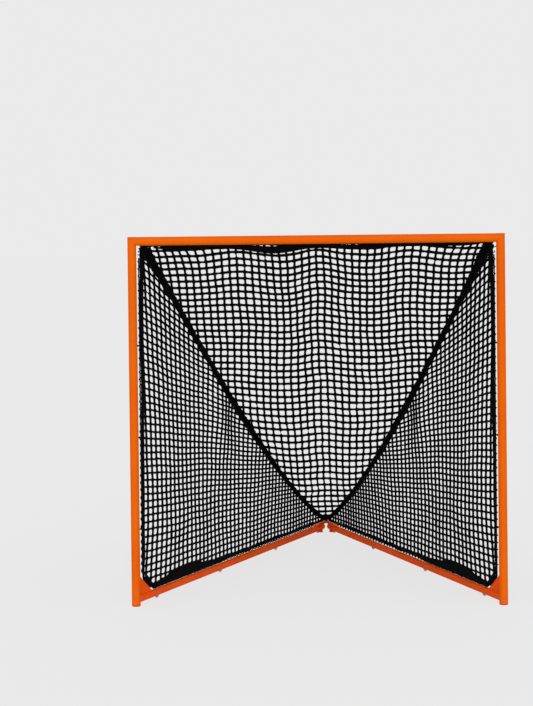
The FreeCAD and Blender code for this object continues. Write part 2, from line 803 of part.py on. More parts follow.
def holed_slab(name, edges, folds, origin, pitch):
    """Make a flat slab with a gap in each cell of a grid, clear of its edges but not its folds."""
    big = 4 * (size("mouth_width") + size("mouth_height") + size("goal_depth"))
    square = [(-big, -big), (big, -big), (big, big), (-big, big)]
    outer = bounded(folds, 0.0, bounded(edges, 0.0, square))
    low = [min(point[axis] for point in outer) + FOLD_ALLOWANCE for axis in (0, 1)]
    high = [max(point[axis] for point in outer) - FOLD_ALLOWANCE for axis in (0, 1)]
    first = [math.floor((low[axis] - origin[axis]) / pitch[axis]) for axis in (0, 1)]
    last = [math.ceil((high[axis] - origin[axis]) / pitch[axis]) for axis in (0, 1)]
    wires = [ring_of(outer, -half_twine)]
    for column in range(first[0], last[0]):
        for line in range(first[1], last[1]):
            left = origin[0] + pitch[0] * column + half_twine
            under = origin[1] + pitch[1] * line + half_twine
            right = left + pitch[0] - 2 * half_twine
            over = under + pitch[1] - 2 * half_twine
            gap = bounded(edges, size("net_selvedge"),
                          [(left, under), (right, under), (right, over), (left, over)])
            if len(gap) > 2 and area(gap) > SMALLEST_GAP:
                wires.append(ring_of(gap, -half_twine))
    print(name, "gaps", len(wires) - 1)
    return Part.makeFace(wires, "Part::FaceMakerBullseye").extrude(Vector(0, 0, 2 * half_twine))


def joined_net(name, slabs, band):
    """Fuse the slabs of a panel and seat it on the seam beside it."""
    whole = slabs[0].fuse(slabs[1:]).removeSplitter().cut(band)
    solid = max(whole.Solids, key=lambda item: item.Volume)
    print(name, "solids", len(whole.Solids))
    return keep(solid_from(name + "_panel", solid), name)


# Seams: flat tapered bands that bend where the netting folds
half_seam_top = size("seam_top_width") / 2
half_seam_rear = size("seam_rear_width") / 2
half_seam_thick = size("seam_thickness") / 2
net_margin = rope_step + rope_radius
seam_lengths = [(seam_spot(1.0, number + 1) - seam_spot(1.0, number)).Length
                for number in FLIGHTS]


def half_seam(number):
    """Return half the width of a seam at one of its bends or ends."""
    share = sum(seam_lengths[:number]) / sum(seam_lengths)
    return half_seam_rear + share * (half_seam_top - half_seam_rear)


def seam_axes(side, number):
    """Return the downward course of a seam in one flight and its wide and thin directions."""
    course = (seam_spot(side, number) - seam_spot(side, number + 1)).normalize()
    thin = back_places[number].Rotation.multVec(UP)
    wide = thin.cross(course).normalize()
    return course, wide, thin


def seam_section(centre, wide, thin, half_width):
    """Return the eight-sided section of a seam band."""
    bevel = half_seam_thick / 2
    spots = [(half_width, bevel), (half_width - bevel, half_seam_thick),
             (bevel - half_width, half_seam_thick), (-half_width, bevel)]
    spots += [(-across, -upward) for across, upward in spots]
    points = [centre + wide * across + thin * upward for across, upward in spots]
    return Part.makePolygon(points + [points[0]])


def seam_band(side):
    """Loft a seam through its two ends and its bends, where both directions are shared."""
    last = len(seam_line) - 1
    course, wide, thin = seam_axes(side, 0)
    sections = [seam_section(net_tip - course * size("seam_rear_stop"), wide, thin,
                             half_seam_rear)]
    for number in range(1, last):
        before, after = seam_axes(side, number - 1), seam_axes(side, number)
        sections.append(seam_section(seam_spot(side, number), (before[1] + after[1]).normalize(),
                                     (before[2] + after[2]).normalize(), half_seam(number)))
    course, wide, thin = seam_axes(side, last - 1)
    sections.append(seam_section(net_corner(side) + course * size("seam_top_start"), wide, thin,
                                 half_seam_top))
    return Part.makeLoft(sections, True, True)


seam_bands = {}
for label, side in SIDES:
    seam_bands[label] = seam_band(side)
    keep(solid_from(label + "_seam_band", seam_bands[label]), label + "_seam")


# Back panel: three flights, mitred where they fold
def mitre(number):
    """Return the corner of the back panel's profile at a bend or an end, as its two faces."""
    spot = seam_spot(1.0, number)
    centre = Vector(0, spot.y, spot.z)
    near = [back_places[item].Rotation.multVec(UP) for item in FLIGHTS
            if item in (number - 1, number)]
    across = Vector(0, 0, 0)
    for normal in near:
        across += normal
    across.normalize()
    reach = half_twine * 2 / across.dot(near[0])
    return centre + across * reach, centre - across * reach


def flight_space(number):
    """Make the space between the mitre planes at both ends of a flight."""
    low, high = mitre(number), mitre(number + 1)
    points = [low[0], low[1], high[1], high[0], low[0]]
    shift = ACROSS * size("mouth_width")
    face = Part.Face(Part.makePolygon([point - shift for point in points]))
    return face.extrude(shift * 2)


back_slabs = []
for number in FLIGHTS:
    wide_low, wide_high = seam_spot(1.0, number).x, seam_spot(1.0, number + 1).x
    length = back_lengths[number]
    tuck_low = half_seam(number) - size("seam_tuck")
    tuck_high = half_seam(number + 1) - size("seam_tuck")
    edges = [((wide_low, 0), (wide_high, length), tuck_low, tuck_high),
             ((-wide_high, length), (-wide_low, 0), tuck_high, tuck_low)]
    top_edge = ((wide_high, length), (-wide_high, length))
    folds = []
    if number == FLIGHTS[-1]:
        edges.append(top_edge + (net_margin, net_margin))
    else:
        folds.append(top_edge + (-FOLD_ALLOWANCE, -FOLD_ALLOWANCE))
    if number:
        folds.append(((-wide_low, 0), (wide_low, 0), -FOLD_ALLOWANCE, -FOLD_ALLOWANCE))
    slab = holed_slab("back_net_%d" % number, edges, folds, (0, 0),
                      (back_pitch, length / BACK_ROWS[number]))
    slab.Placement = back_places[number]
    back_slabs.append(slab.common(flight_space(number)))
joined_net("back_net", back_slabs, seam_bands["left"].fuse(seam_bands["right"]))


# Side panels: flat, split at the bends of the seam into slabs that each fill one flight
def seam_side_margin(number):
    """Return how far a side panel's edge lies from the middle line of its seam."""
    course, wide, thin = seam_axes(1.0, number)
    normal = side_place(1.0).Rotation.multVec(UP)
    way = normal.cross(course).normalize()
    reach = (half_seam_thick + half_twine * abs(way.dot(wide))) / abs(way.dot(thin))
    return reach - size("seam_tuck")


for label, side in SIDES:
    slabs = []
    for number in FLIGHTS:
        margin = seam_side_margin(number)
        edges = [
            ((gusset_head.x, gusset_head.y), (gusset_foot.x, gusset_foot.y),
             size("net_foot_gap"), size("net_foot_gap")),
            ((0, 0), (full_run, 0), net_margin, net_margin),
            (seam_line[number], seam_line[number + 1], margin, margin),
            ((front_run(corner_rise), corner_rise), (front_run(0), 0), rope_radius, rope_radius),
        ]
        far_run, near_run = seam_line[number][0], seam_line[number + 1][0]
        folds = []
        if number:
            folds.append(((far_run, 0), (far_run, corner_rise), 0.0, 0.0))
        if number != FLIGHTS[-1]:
            folds.append(((near_run, corner_rise), (near_run, 0), 0.0, 0.0))
        slab = holed_slab("%s_side_net_%d" % (label, number), edges, folds, (side_origin, 0),
                          (side_pitch, side_row))
        slab.Placement = side_place(side)
        slabs.append(slab)
    joined_net(label + "_side_net", slabs, seam_bands[label])


# Ropes along the laced edges of the panels
def rope(name, start, end):
    """Lay a straight rope between two points."""
    run = end - start
    return keep(rod_along(name + "_cord", "Sizes.rope_diameter / 2", run.Length, start, run), name)


def in_back(across, climb):
    """Return a point of the back panel's plane."""
    return back_place.multVec(Vector(across, climb, 0))


rope_half = corner_reach - size("rope_corner_gap")
rope("crossbar_rope", in_back(-rope_half, top_length - rope_step),
     in_back(rope_half, top_length - rope_step))
knot_clear = size("apex_knot_base") / 2 + rope_radius
for label, side in SIDES:
    rope(label + "_post_rope", in_side(side, front_run(rope_low), rope_low),
         in_side(side, front_run(rope_high), rope_high))
    rope(label + "_ground_rope",
         in_side(side, foot_run(rope_step) + rope_radius, rope_step),
         in_side(side, full_run - knot_clear, rope_step))


# Folded hems and corner bands on the inner face of the panels
def facing_in(side):
    """Return which way a side panel's own Z axis must be followed to go inward."""
    return 1.0 if side_place(side).Rotation.multVec(UP).dot(inward(side)) > 0 else -1.0


def hem_solid(name, corners, bow, place, sign):
    """Extrude a flat outline, whose last edge may be an arc, off a panel's face."""
    points = [Vector(across, upward, sign * half_twine) for across, upward in corners]
    edges = [Part.LineSegment(*pair) for pair in zip(points, points[1:])]
    if bow is None:
        edges.append(Part.LineSegment(points[-1], points[0]))
    else:
        crown = Vector(bow[0], bow[1], sign * half_twine)
        edges.append(Part.Arc(points[-1], crown, points[0]))
    wire = Part.Wire([edge.toShape() for edge in edges])
    body = Part.Face(wire).extrude(Vector(0, 0, sign * size("hem_thickness")))
    return keep(solid_from(name + "_fold", body, place), name)


facing_front = 1.0 if back_place.Rotation.multVec(UP).y < 0 else -1.0
hem_step = rope_step + lace_step + lace_radius + size("hem_gap")
hem_high = top_length - hem_step
hem_low = hem_high - size("crossbar_hem_height")
hem_half = rope_half - hem_step
hem_solid("crossbar_hem",
          [(-hem_half, hem_low), (hem_half, hem_low), (hem_half, hem_high), (-hem_half, hem_high)],
          None, back_place, facing_front)
for label, side in SIDES:
    sign = facing_in(side)
    first = foot_run(hem_step) + band_clear
    last = first + size("ground_hem_length")
    crown = (first + 0.4 * (last - first), hem_step + size("ground_hem_height"))
    hem_solid(label + "_ground_hem", [(first, hem_step), (last, hem_step)], crown,
              side_place(side), sign)

    base = Vector(foot_run(net_margin), net_margin, 0)
    head_run = size("front_edge_low") + rope_radius
    head = Vector(head_run, foot_rise(head_run), 0)
    shift = foot_normal * size("foot_band_width")
    hem_solid(label + "_foot_band",
              [(corner.x, corner.y) for corner in (base, base + shift, head + shift, head)],
              None, side_place(side), sign)


# Lacing: one unbroken cord winds round each bar and rope, one turn in each cell
def biarc(start, start_way, end, end_way):
    """Return two tangent arcs that leave start and reach end in the given directions."""
    span = end - start
    ways = start_way + end_way
    spread = 2 * (1 - start_way.dot(end_way))
    along_both = span.dot(ways)
    if spread < 1e-6:
        reach = span.dot(span) / (2 * along_both)
    else:
        reach = (-along_both + math.sqrt(along_both ** 2 + spread * span.dot(span))) / spread
    near = start + start_way * reach
    far = end - end_way * reach
    middle = (near + far) * 0.5
    return [tangent_arc(start, start_way, middle), tangent_arc(middle, (far - near), end)]


def tangent_arc(start, way, end):
    """Return the arc from start to end that leaves in a given direction."""
    chord = end - start
    way = Vector(way).normalize()
    rise = chord - way * chord.dot(way)
    if rise.Length < 1e-4 * chord.Length:
        return Part.LineSegment(start, end)
    rise.normalize()
    turn = 2 * math.atan2(chord.dot(rise), chord.dot(way))
    radius = chord.Length / (2 * math.sin(turn / 2))
    middle = start + way * (radius * math.sin(turn / 2)) + rise * (radius * (1 - math.cos(turn / 2)))
    return Part.Arc(start, middle, end)


def winding(name, bar_at, rope_at, hole_way, run, lines):
    """Wind a cord round a bar and a rope, from one grid line of the panel to the last."""
    pitch = lines[1] - lines[0]
    stations = []
    for number in range(4 * (len(lines) - 1) + 1):
        place = lines[0] + pitch * number / 4.0
        bar, rope_centre = bar_at(place), rope_at(place)
        hole = rope_centre + hole_way * lace_step
        toward = hole - bar
        toward = (toward - run * toward.dot(run)).normalize()
        sideways = run.cross(toward)
        bulge = abs((rope_centre - bar).dot(sideways))
        half_high = rope_radius + lace_radius + size("lace_clearance") + bulge
        near = bar - toward * (rod_radius + lace_radius + size("lace_clearance"))
        half_long = (hole - near).dot(toward) / 2
        angle = number % 4 * math.pi / 2
        across, upward = math.cos(angle), math.sin(angle)
        spot = near + toward * (half_long * (1 - across)) + sideways * (half_high * upward)
        spot = spot - run * (spot - bar).dot(run)
        way = (toward * (half_long * upward) + sideways * (half_high * across)
               + run * (pitch / (2 * math.pi)))
        stations.append((spot, way.normalize()))
    arcs = []
    for (start, start_way), (end, end_way) in zip(stations, stations[1:]):
        arcs += biarc(start, start_way, end, end_way)
    first, way = stations[0]
    flat = way.cross(run).normalize()
    steep = way.cross(flat)
    corners = []
    for number in range(LACE_SIDES):
        angle = 2 * math.pi * number / LACE_SIDES
        corners.append(first + (flat * math.cos(angle) + steep * math.sin(angle)) * lace_radius)
    section = Part.makePolygon(corners + [corners[0]])
    path = Part.Wire([arc.toShape() for arc in arcs])
    report_gap(name, arcs)
    return keep(solid_from(name + "_cord", path.makePipeShell([section], True, False)), name)


def report_gap(name, arcs):
    """Print a cord's least gap to itself and its tightest radius, both measured."""
    samples = []
    length = 0.0
    for arc in arcs:
        for share in (0.0, 0.25, 0.5, 0.75):
            spot = arc.value(arc.FirstParameter
                             + share * (arc.LastParameter - arc.FirstParameter))
            samples.append((length + share * arc.length(), spot))
        length += arc.length()
    far_on = 6 * size("lace_diameter")
    least = min(((one - two).Length for index, (here, one) in enumerate(samples)
                 for there, two in samples[index + 1:index + 40] if there - here > far_on),
                default=length)
    radii = [edge.Curve.Radius for edge in (arc.toShape() for arc in arcs)
             if hasattr(edge.Curve, "Radius")]
    print(name, "length %.0f" % length, "least gap %.1f" % (least - size("lace_diameter")),
          "tightest radius %.1f" % min(radii, default=0.0))


winding("crossbar_lacing", lambda place: crossbar_rod_axis + ACROSS * place,
        lambda place: in_back(place, top_length - rope_step), slope_up * -1, ACROSS,
        crossbar_lines)
for label, side in SIDES:
    ahead = along(side)
    climb = side_place(side).Rotation.multVec(BACK)
    bar_foot = foot(side) + post_lift(side) * post_rod_reach
    winding(label + "_pipe_lacing", lambda place: beside(side, place, pipe_rod_z),
            lambda place: in_side(side, place, rope_step), climb, ahead, pipe_lines)
    winding(label + "_post_lacing",
            lambda place: bar_foot + UP * (pipe_rod_z + place * lean),
            lambda place: in_side(side, front_run(place), place), ahead, UP, post_lines)

# Ties: one at each top corner of the netting, and the knot over the yoke
for label, side in SIDES:
    course = seam_axes(side, FLIGHTS[-1])[0]
    band_end = net_corner(side) + course * size("seam_top_start")
    bar_end = crossbar_rod_axis + ACROSS * (side * (crossbar_rod_half - rope_radius))
    lay = bar_end - band_end
    tie = rod_along(label + "_tie_blank", "Sizes.corner_tie_diameter / 2", lay.Length,
                    band_end, lay)
    keep(cut(label + "_tie", tie,
             group(label + "_tie_tools", [crossbar_rod for crossbar_rod in parts
                                          if crossbar_rod.Label in ("crossbar_lacing_bar",
                                                                    label + "_seam")])),
         label + "_corner_tie")

knot = doc.addObject("Part::Cone", "knot")
knot.setExpression("Radius1", "Sizes.apex_knot_base / 2")
knot.setExpression("Radius2", "Sizes.apex_knot_top / 2")
knot.setExpression("Height", "Sizes.apex_knot_height")
knot.Placement = Placement(apex + UP * (pipe_top + size("yoke_thickness")), Rotation())
keep(knot, "apex_knot")

doc.recompute()

for obj in doc.Objects:
    if "Invalid" in obj.State or "Error" in obj.State:
        raise RuntimeError("failed object: " + obj.Label)
for obj in parts:
    if obj.Shape.isNull() or not obj.Shape.isValid() or not obj.Shape.Solids:
        raise RuntimeError("bad shape: " + obj.Label)

os.makedirs("parts", exist_ok=True)
for obj in parts:
    obj.Shape.exportStep(os.path.join("parts", obj.Label + ".step"))
print("sub-parts", len(parts))
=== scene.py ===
# Dressing of a field goal: orange tube mouth, two ground pipes that meet behind, and a
# laced netting bag of one back panel and two side panels. Lengths are in metres.

import json
import logging
import math
from bisect import bisect_left
from dataclasses import dataclass
from enum import Enum
from typing import Callable, Iterable, Iterator, Optional, Sequence

import bpy
from mathutils import Matrix, Vector, noise


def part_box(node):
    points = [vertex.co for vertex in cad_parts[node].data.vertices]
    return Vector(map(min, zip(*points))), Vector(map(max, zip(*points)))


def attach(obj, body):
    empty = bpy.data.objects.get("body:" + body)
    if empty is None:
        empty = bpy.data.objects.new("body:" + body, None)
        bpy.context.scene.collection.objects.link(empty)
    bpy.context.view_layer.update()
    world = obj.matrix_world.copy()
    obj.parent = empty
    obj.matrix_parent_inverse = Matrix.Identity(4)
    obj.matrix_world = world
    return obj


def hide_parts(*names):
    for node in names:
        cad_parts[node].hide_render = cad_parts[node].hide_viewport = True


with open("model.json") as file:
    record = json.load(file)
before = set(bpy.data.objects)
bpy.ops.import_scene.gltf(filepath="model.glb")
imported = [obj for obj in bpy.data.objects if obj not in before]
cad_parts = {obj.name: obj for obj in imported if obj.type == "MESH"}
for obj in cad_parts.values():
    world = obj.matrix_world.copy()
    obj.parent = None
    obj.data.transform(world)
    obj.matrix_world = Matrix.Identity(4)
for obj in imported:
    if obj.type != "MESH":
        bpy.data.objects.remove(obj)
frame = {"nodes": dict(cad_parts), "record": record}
log = logging.getLogger("goal")

Colour = tuple[float, float, float, float]
Pair = tuple[float, float]
Triple = tuple[float, float, float]

UP = Vector((0.0, 0.0, 1.0))
ACROSS = Vector((1.0, 0.0, 0.0))
TURN = 2 * math.pi
SAME_PLACE = 1e-6

# Picture size in pixels, and the width of the camera's sensor in millimetres
IMAGE_WIDTH = 533.0
IMAGE_HEIGHT = 706.0
SENSOR_WIDTH = 36.0

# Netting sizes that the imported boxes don't give
NET_CORNER_INSET = 0.044
ROPE_RADIUS = 0.005
ROPE_STEP = 0.0083
FRONT_LOW = 0.072
FRONT_HIGH = 0.050
FOOT_GAP = 0.007
HEM_STEP = 0.004
BACK_TWINE = 0.0216
SIDE_TWINE = 0.0188
SEAM_START = 0.022
SEAM_STOP = 0.050

# The foot gusset: its reach along the pipe, its rise up the post, and its corners
GUSSET_REACH = 0.128
GUSSET_RISE = 0.098
GUSSET_NOSE = 0.004
GUSSET_LEDGE = 0.009
GUSSET_HALF = 0.0025

# Sag of a seam: its greatest drop, and how it grows from the corner and fades to the tip
SEAM_SAG = 0.131
SAG_RISE = 1.47
SAG_FALL = 0.9


class Side(Enum):
    """The two sides of the goal, seen from the field, with the sign of X."""

    LEFT = -1.0
    RIGHT = 1.0

    @property
    def label(self) -> str:
        """Return the word that starts the names of this side's pieces."""
        return self.name.lower()


class Slot(Enum):
    """Material slots of the record."""

    FRAME = "frame_orange"
    BASE = "base_orange"
    BAR = "bar_black"
    ZINC = "zinc_steel"
    CAP = "cap_orange"
    PLUG = "plug_black"
    NET = "net_black"
    WEBBING = "webbing_black"
    ROPE = "rope_black"
    LACE = "lace_black"


# Hand tools: short steps that every piece uses

def only(*pieces: bpy.types.Object) -> None:
    """Select some pieces alone and make the first one active.

    Args:
        pieces: The objects to select.
    """
    bpy.ops.object.select_all(action="DESELECT")
    for piece in pieces:
        piece.select_set(True)
    bpy.context.view_layer.objects.active = pieces[0]


def named(name: str) -> bpy.types.Object:
    """Name the object that an operator just made, with its data.

    Args:
        name: The piece's name.

    Returns:
        That object.
    """
    piece = bpy.context.object
    piece.name = name
    piece.data.name = name
    return piece


def brought_in(name: str, data: bpy.types.ID) -> bpy.types.Object:
    """Put new data into the scene as an object.

    Args:
        name: The object's name.
        data: Its curve, lamp or camera.

    Returns:
        The new object.
    """
    holder = bpy.data.objects.new(name, data)
    bpy.context.collection.objects.link(holder)
    return holder


def finish_with(piece: bpy.types.Object, kind: str, **settings: object) -> None:
    """Add one modifier, set it and apply it.

    Args:
        piece: The object to change.
        kind: The modifier's type name.
        settings: Its properties by name.
    """
    only(piece)
    modifier = piece.modifiers.new(kind.title(), kind)
    for key, value in settings.items():
        setattr(modifier, key, value)
    bpy.ops.object.modifier_apply(modifier=modifier.name)


def reshape(piece: bpy.types.Object, rule: Callable[[Vector], Vector]) -> None:
    """Move every vertex of a piece by one rule.

    Args:
        piece: The object to change.
        rule: Gives a vertex's new place from its old one.
    """
    for vertex in piece.data.vertices:
        vertex.co = rule(vertex.co.copy())
    piece.data.update()


def face_out(piece: bpy.types.Object, open_tube: bool = False) -> None:
    """Turn all faces of a piece outward.

    Args:
        piece: The object to change.
        open_tube: Whether it is a tube whose two ends are closed first.
    """
    only(piece)
    bpy.ops.object.mode_set(mode="EDIT")
    bpy.ops.mesh.select_all(action="SELECT")
    if open_tube:
        bpy.ops.mesh.remove_doubles(threshold=SAME_PLACE)
        bpy.ops.mesh.fill_holes(sides=0)
    bpy.ops.mesh.normals_make_consistent(inside=False)
    bpy.ops.object.mode_set(mode="OBJECT")


def joined(name: str, pieces: Sequence[bpy.types.Object]) -> bpy.types.Object:
    """Join several meshes into one object with its own name.

    Args:
        name: The joined piece's name.
        pieces: The meshes.

    Returns:
        The joined piece.
    """
    only(*pieces)
    bpy.ops.object.join()
    return named(name)


def axes(origin: Vector, first: Vector, second: Vector, third: Vector) -> Matrix:
    """Build the matrix of a place.

    Args:
        origin: Its zero point.
        first: Direction of its X axis.
        second: Direction of its Y axis.
        third: Direction of its Z axis.

    Returns:
        The place as a matrix.
    """
    place = Matrix((first, second, third)).transposed().to_4x4()
    place.translation = origin
    return place


def turned_to(way: Vector) -> Matrix:
    """Return the turn that lays the Z axis along a direction."""
    return way.to_track_quat("Z", "Y").to_matrix().to_4x4()


def lying(start: Vector, end: Vector) -> Matrix:
    """Build the place whose Z axis runs from one point toward another.

    Args:
        start: The place's zero point.
        end: A point on its Z axis.

    Returns:
        The place as a matrix.
    """
    place = turned_to((end - start).normalized())
    place.translation = start
    return place


def round_section(corners: int, radius: float = 1.0) -> list[Pair]:
    """Return the corners of a round section."""
    return [(radius * math.cos(TURN * k / corners), radius * math.sin(TURN * k / corners))
            for k in range(corners)]


def rounds(turns: int, spots: int) -> Iterator[Triple]:
    """Walk evenly round and round, as cord is wound.

    Args:
        turns: How many turns are made.
        spots: Places in each turn.

    Yields:
        The turns made so far, the share of the whole, and the angle.
    """
    for k in range(spots * turns + 1):
        yield k / spots, k / (spots * turns), TURN * k / spots


def swept(name: str, section: Sequence[Pair], length: float, steps: int,
          lay: Optional[float] = None) -> bpy.types.Object:
    """Sweep a closed section along Z with the Screw modifier.

    Args:
        name: The piece's name.
        section: Corners of the section in X and Y.
        length: How far it is swept.
        steps: Rings along the whole length, or along one lay of a twisted section.
        lay: Length of one full twist, or None for a straight sweep.

    Returns:
        The tube, from Z 0 to its length, closed at both ends.
    """
    bpy.ops.object.select_all(action="DESELECT")
    bpy.ops.mesh.primitive_circle_add(vertices=len(section), radius=1.0, location=(0, 0, 0))
    piece = named(name)
    for vertex, (across, upward) in zip(piece.data.vertices, section):
        vertex.co = (across, upward, 0.0)
    turns = 1 if lay is None else round(length / lay)
    finish_with(piece, "SCREW", axis="Z", angle=0.0 if lay is None else TURN,
                screw_offset=length / turns, iterations=turns, steps=steps, render_steps=steps,
                use_merge_vertices=False)
    face_out(piece, open_tube=True)
    return piece


def cord(name: str, points: Iterable[Vector], radius: float, closed: bool = False,
         fineness: int = 2, roundness: int = 1) -> bpy.types.Object:
    """Run a round cord smoothly past a row of points.

    Args:
        name: The piece's name.
        points: The spline's control points.
        radius: Half the cord's thickness.
        closed: Whether the cord is a ring.
        fineness: Rings between two points.
        roundness: Detail of the cord's own section.

    Returns:
        The cord as a mesh.
    """
    spots = list(points)
    line = bpy.data.curves.new(name, "CURVE")
    line.dimensions = "3D"
    spline = line.splines.new("NURBS")
    spline.points.add(len(spots) - 1)
    for point, spot in zip(spline.points, spots):
        point.co = (spot.x, spot.y, spot.z, 1.0)
    spline.use_cyclic_u = closed
    spline.order_u = 3
    spline.use_endpoint_u = not closed
    line.resolution_u = fineness
    line.bevel_depth = radius
    line.bevel_resolution = roundness
    line.use_fill_caps = True
    only(brought_in(name, line))
    bpy.ops.object.convert(target="MESH")
    return named(name)


def flat_grid(name: str, columns: int, rows: int) -> bpy.types.Object:
    """Add a flat grid of cells, from 0 to 1 along X and Y.

    Args:
        name: The piece's name.
        columns: Cells along X.
        rows: Cells along Y.

    Returns:
        The grid.
    """
    bpy.ops.object.select_all(action="DESELECT")
    bpy.ops.mesh.primitive_grid_add(x_subdivisions=columns, y_subdivisions=rows, size=1.0,
                                    location=(0, 0, 0))
    piece = named(name)
    reshape(piece, lambda spot: Vector((spot.x + 0.5, spot.y + 0.5, 0.0)))
    return piece


def ripple(spot: Vector, scale: float, seed: float) -> float:
    """Return smooth noise between -1 and 1 at a place, the same in every run."""
    return noise.noise(Vector((spot.x * scale + seed, spot.y * scale - seed,
                               spot.z * scale + 2.0 * seed)))


def ripple_along(run: float, scale: float, seed: float) -> float:
    """Return the same noise along one line."""
    return ripple(Vector((run, 0.0, 0.0)), scale, seed)


def bump_at(place: float, centre: float, reach: float) -> float:
    """Return a smooth hump that is 1 at its centre and fades over its reach."""
    return math.exp(-((place - centre) / reach) ** 2)


def humps(place: float, rows: Iterable[Triple]) -> float:
    """Return the sum of smooth humps, each given by its height, centre and reach."""
    return sum(height * bump_at(place, centre, reach) for height, centre, reach in rows)


def between(low: float, high: float, share: float) -> float:
    """Return the value at a share of the way from one number to another."""
    return low + (high - low) * share


def step_at(marks: Sequence[float], value: float) -> int:
    """Return the number of the mark that ends the step in which a value lies."""
    return min(max(bisect_left(marks, value), 1), len(marks) - 1)


def as_vectors(box: Iterable[Sequence[float]]) -> list[Vector]:
    """Return the low and the high corner of a box as vectors."""
    return [Vector(corner) for corner in box]


# Lines of the goal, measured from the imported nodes

@dataclass(frozen=True)
class Panel:
    """A flat netting panel's own directions."""

    origin: Vector
    across: Vector
    upward: Vector

    @property
    def outward(self) -> Vector:
        """Return the direction square to the panel."""
        return self.across.cross(self.upward)

    def at(self, across: float, upward: float, out: float = 0.0) -> Vector:
        """Return a point of the panel, or off it by a distance."""
        return (self.origin + self.across * across + self.upward * upward
                + self.outward * out)


@dataclass(frozen=True)
class GoalLines:
    """Axes, levels and radii of the goal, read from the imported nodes."""

    half_span: float
    post_y: float
    post_radius: float
    pipe_radius: float
    pipe_z: float
    apex_y: float
    bar_z: float
    bar_start: float
    bar_end: float
    crossbar_bar: Vector
    post_bar: Vector

    @classmethod
    def measured(cls) -> "GoalLines":
        """Read every line from the boxes of the CAD nodes.

        Returns:
            The goal's lines.
        """
        post_low, post_high = as_vectors(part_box("right_post"))
        pipe_low, pipe_high = as_vectors(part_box("right_ground_pipe"))
        knot_low, knot_high = as_vectors(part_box("apex_knot"))
        rod_low, rod_high = as_vectors(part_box("right_pipe_lacing_bar"))
        head_low, head_high = as_vectors(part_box("crossbar_lacing_bar"))
        side_low, side_high = as_vectors(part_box("right_post_lacing_bar"))
        half_span = (post_low.x + post_high.x) / 2
        post_y = (post_low.y + post_high.y) / 2
        apex_y = (knot_low.y + knot_high.y) / 2
        rearward = Vector((-half_span, apex_y - post_y, 0.0)).normalized()
        bar_radius = (head_high.z - head_low.z) / 2
        return cls(
            half_span=half_span,
            post_y=post_y,
            post_radius=(post_high.x - post_low.x) / 2,
            pipe_radius=(pipe_high.z - pipe_low.z) / 2,
            pipe_z=(pipe_low.z + pipe_high.z) / 2,
            apex_y=apex_y,
            bar_z=(rod_low.z + rod_high.z) / 2,
            bar_start=(rod_low.y + bar_radius * -rearward.x - post_y) / rearward.y,
            bar_end=(rod_high.y - bar_radius * -rearward.x - post_y) / rearward.y,
            crossbar_bar=(head_low + head_high) / 2,
            post_bar=(side_low + side_high) / 2,
        )

    @property
    def full_run(self) -> float:
        """Return the distance from a post's axis to the rear point."""
        return math.hypot(self.half_span, self.apex_y - self.post_y)

    def foot(self, side: Side) -> Vector:
        """Return the floor point under a post."""
        return Vector((side.value * self.half_span, self.post_y, 0.0))

    def along(self, side: Side) -> Vector:
        """Return the level direction from a post to the rear point."""
        return Vector((-side.value * self.half_span, self.apex_y - self.post_y,
                       0.0)).normalized()

    def inward(self, side: Side) -> Vector:
        """Return the level direction square to a ground pipe, into the goal."""
        ahead = self.along(side)
        return Vector((-side.value * ahead.y, side.value * ahead.x, 0.0))

    def beside(self, side: Side, run: float, rise: float) -> Vector:
        """Return a point in the upright plane of a post and its pipe."""
        return self.foot(side) + self.along(side) * run + UP * rise

    def corner(self, side: Side) -> Vector:
        """Return where back panel, side panel and the crossbar's bar meet."""
        return Vector((side.value * (self.half_span - NET_CORNER_INSET), self.crossbar_bar.y,
                       self.crossbar_bar.z))

    def side_panel(self, side: Side) -> Panel:
        """Lay a flat panel through a post's foot, the rear point and the top corner.

        Args:
            side: Which side of the goal.

        Returns:
            The panel, measured from over the post's foot.
        """
        base = self.beside(side, 0.0, self.bar_z)
        ahead = self.along(side)
        climb = self.corner(side) - base
        climb = (climb - ahead * climb.dot(ahead)).normalized()
        return Panel(base, ahead, climb)

    def corner_in_side(self) -> Pair:
        """Measure the top corner in a side panel.

        Returns:
            Its run and its rise.
        """
        panel = self.side_panel(Side.RIGHT)
        reach = self.corner(Side.RIGHT) - panel.origin
        return reach.dot(panel.across), reach.dot(panel.upward)


class Course:
    """A smooth line, known by many spots along it and followed by distance."""

    def __init__(self, spots: Iterable[Vector]) -> None:
        """Measure the line from spot to spot.

        Args:
            spots: Points of the line in their order.
        """
        self.spots = list(spots)
        self.marks = [0.0]
        for first, second in zip(self.spots, self.spots[1:]):
            self.marks.append(self.marks[-1] + (second - first).length)

    @property
    def length(self) -> float:
        """Return the length of the whole line."""
        return self.marks[-1]

    def at(self, distance: float) -> Vector:
        """Find a point of the line, which goes on straight past either end.

        Args:
            distance: How far along the line.

        Returns:
            The point.
        """
        step = step_at(self.marks, distance)
        low, high = self.marks[step - 1], self.marks[step]
        return self.spots[step - 1].lerp(self.spots[step], (distance - low) / (high - low))

    def way(self, distance: float) -> Vector:
        """Find the direction of the line.

        Args:
            distance: How far along the line.

        Returns:
            The direction there, smoothed over three steps.
        """
        step = step_at(self.marks, distance)
        first = self.spots[max(step - 2, 0)]
        return (self.spots[min(step + 1, len(self.spots) - 1)] - first).normalized()


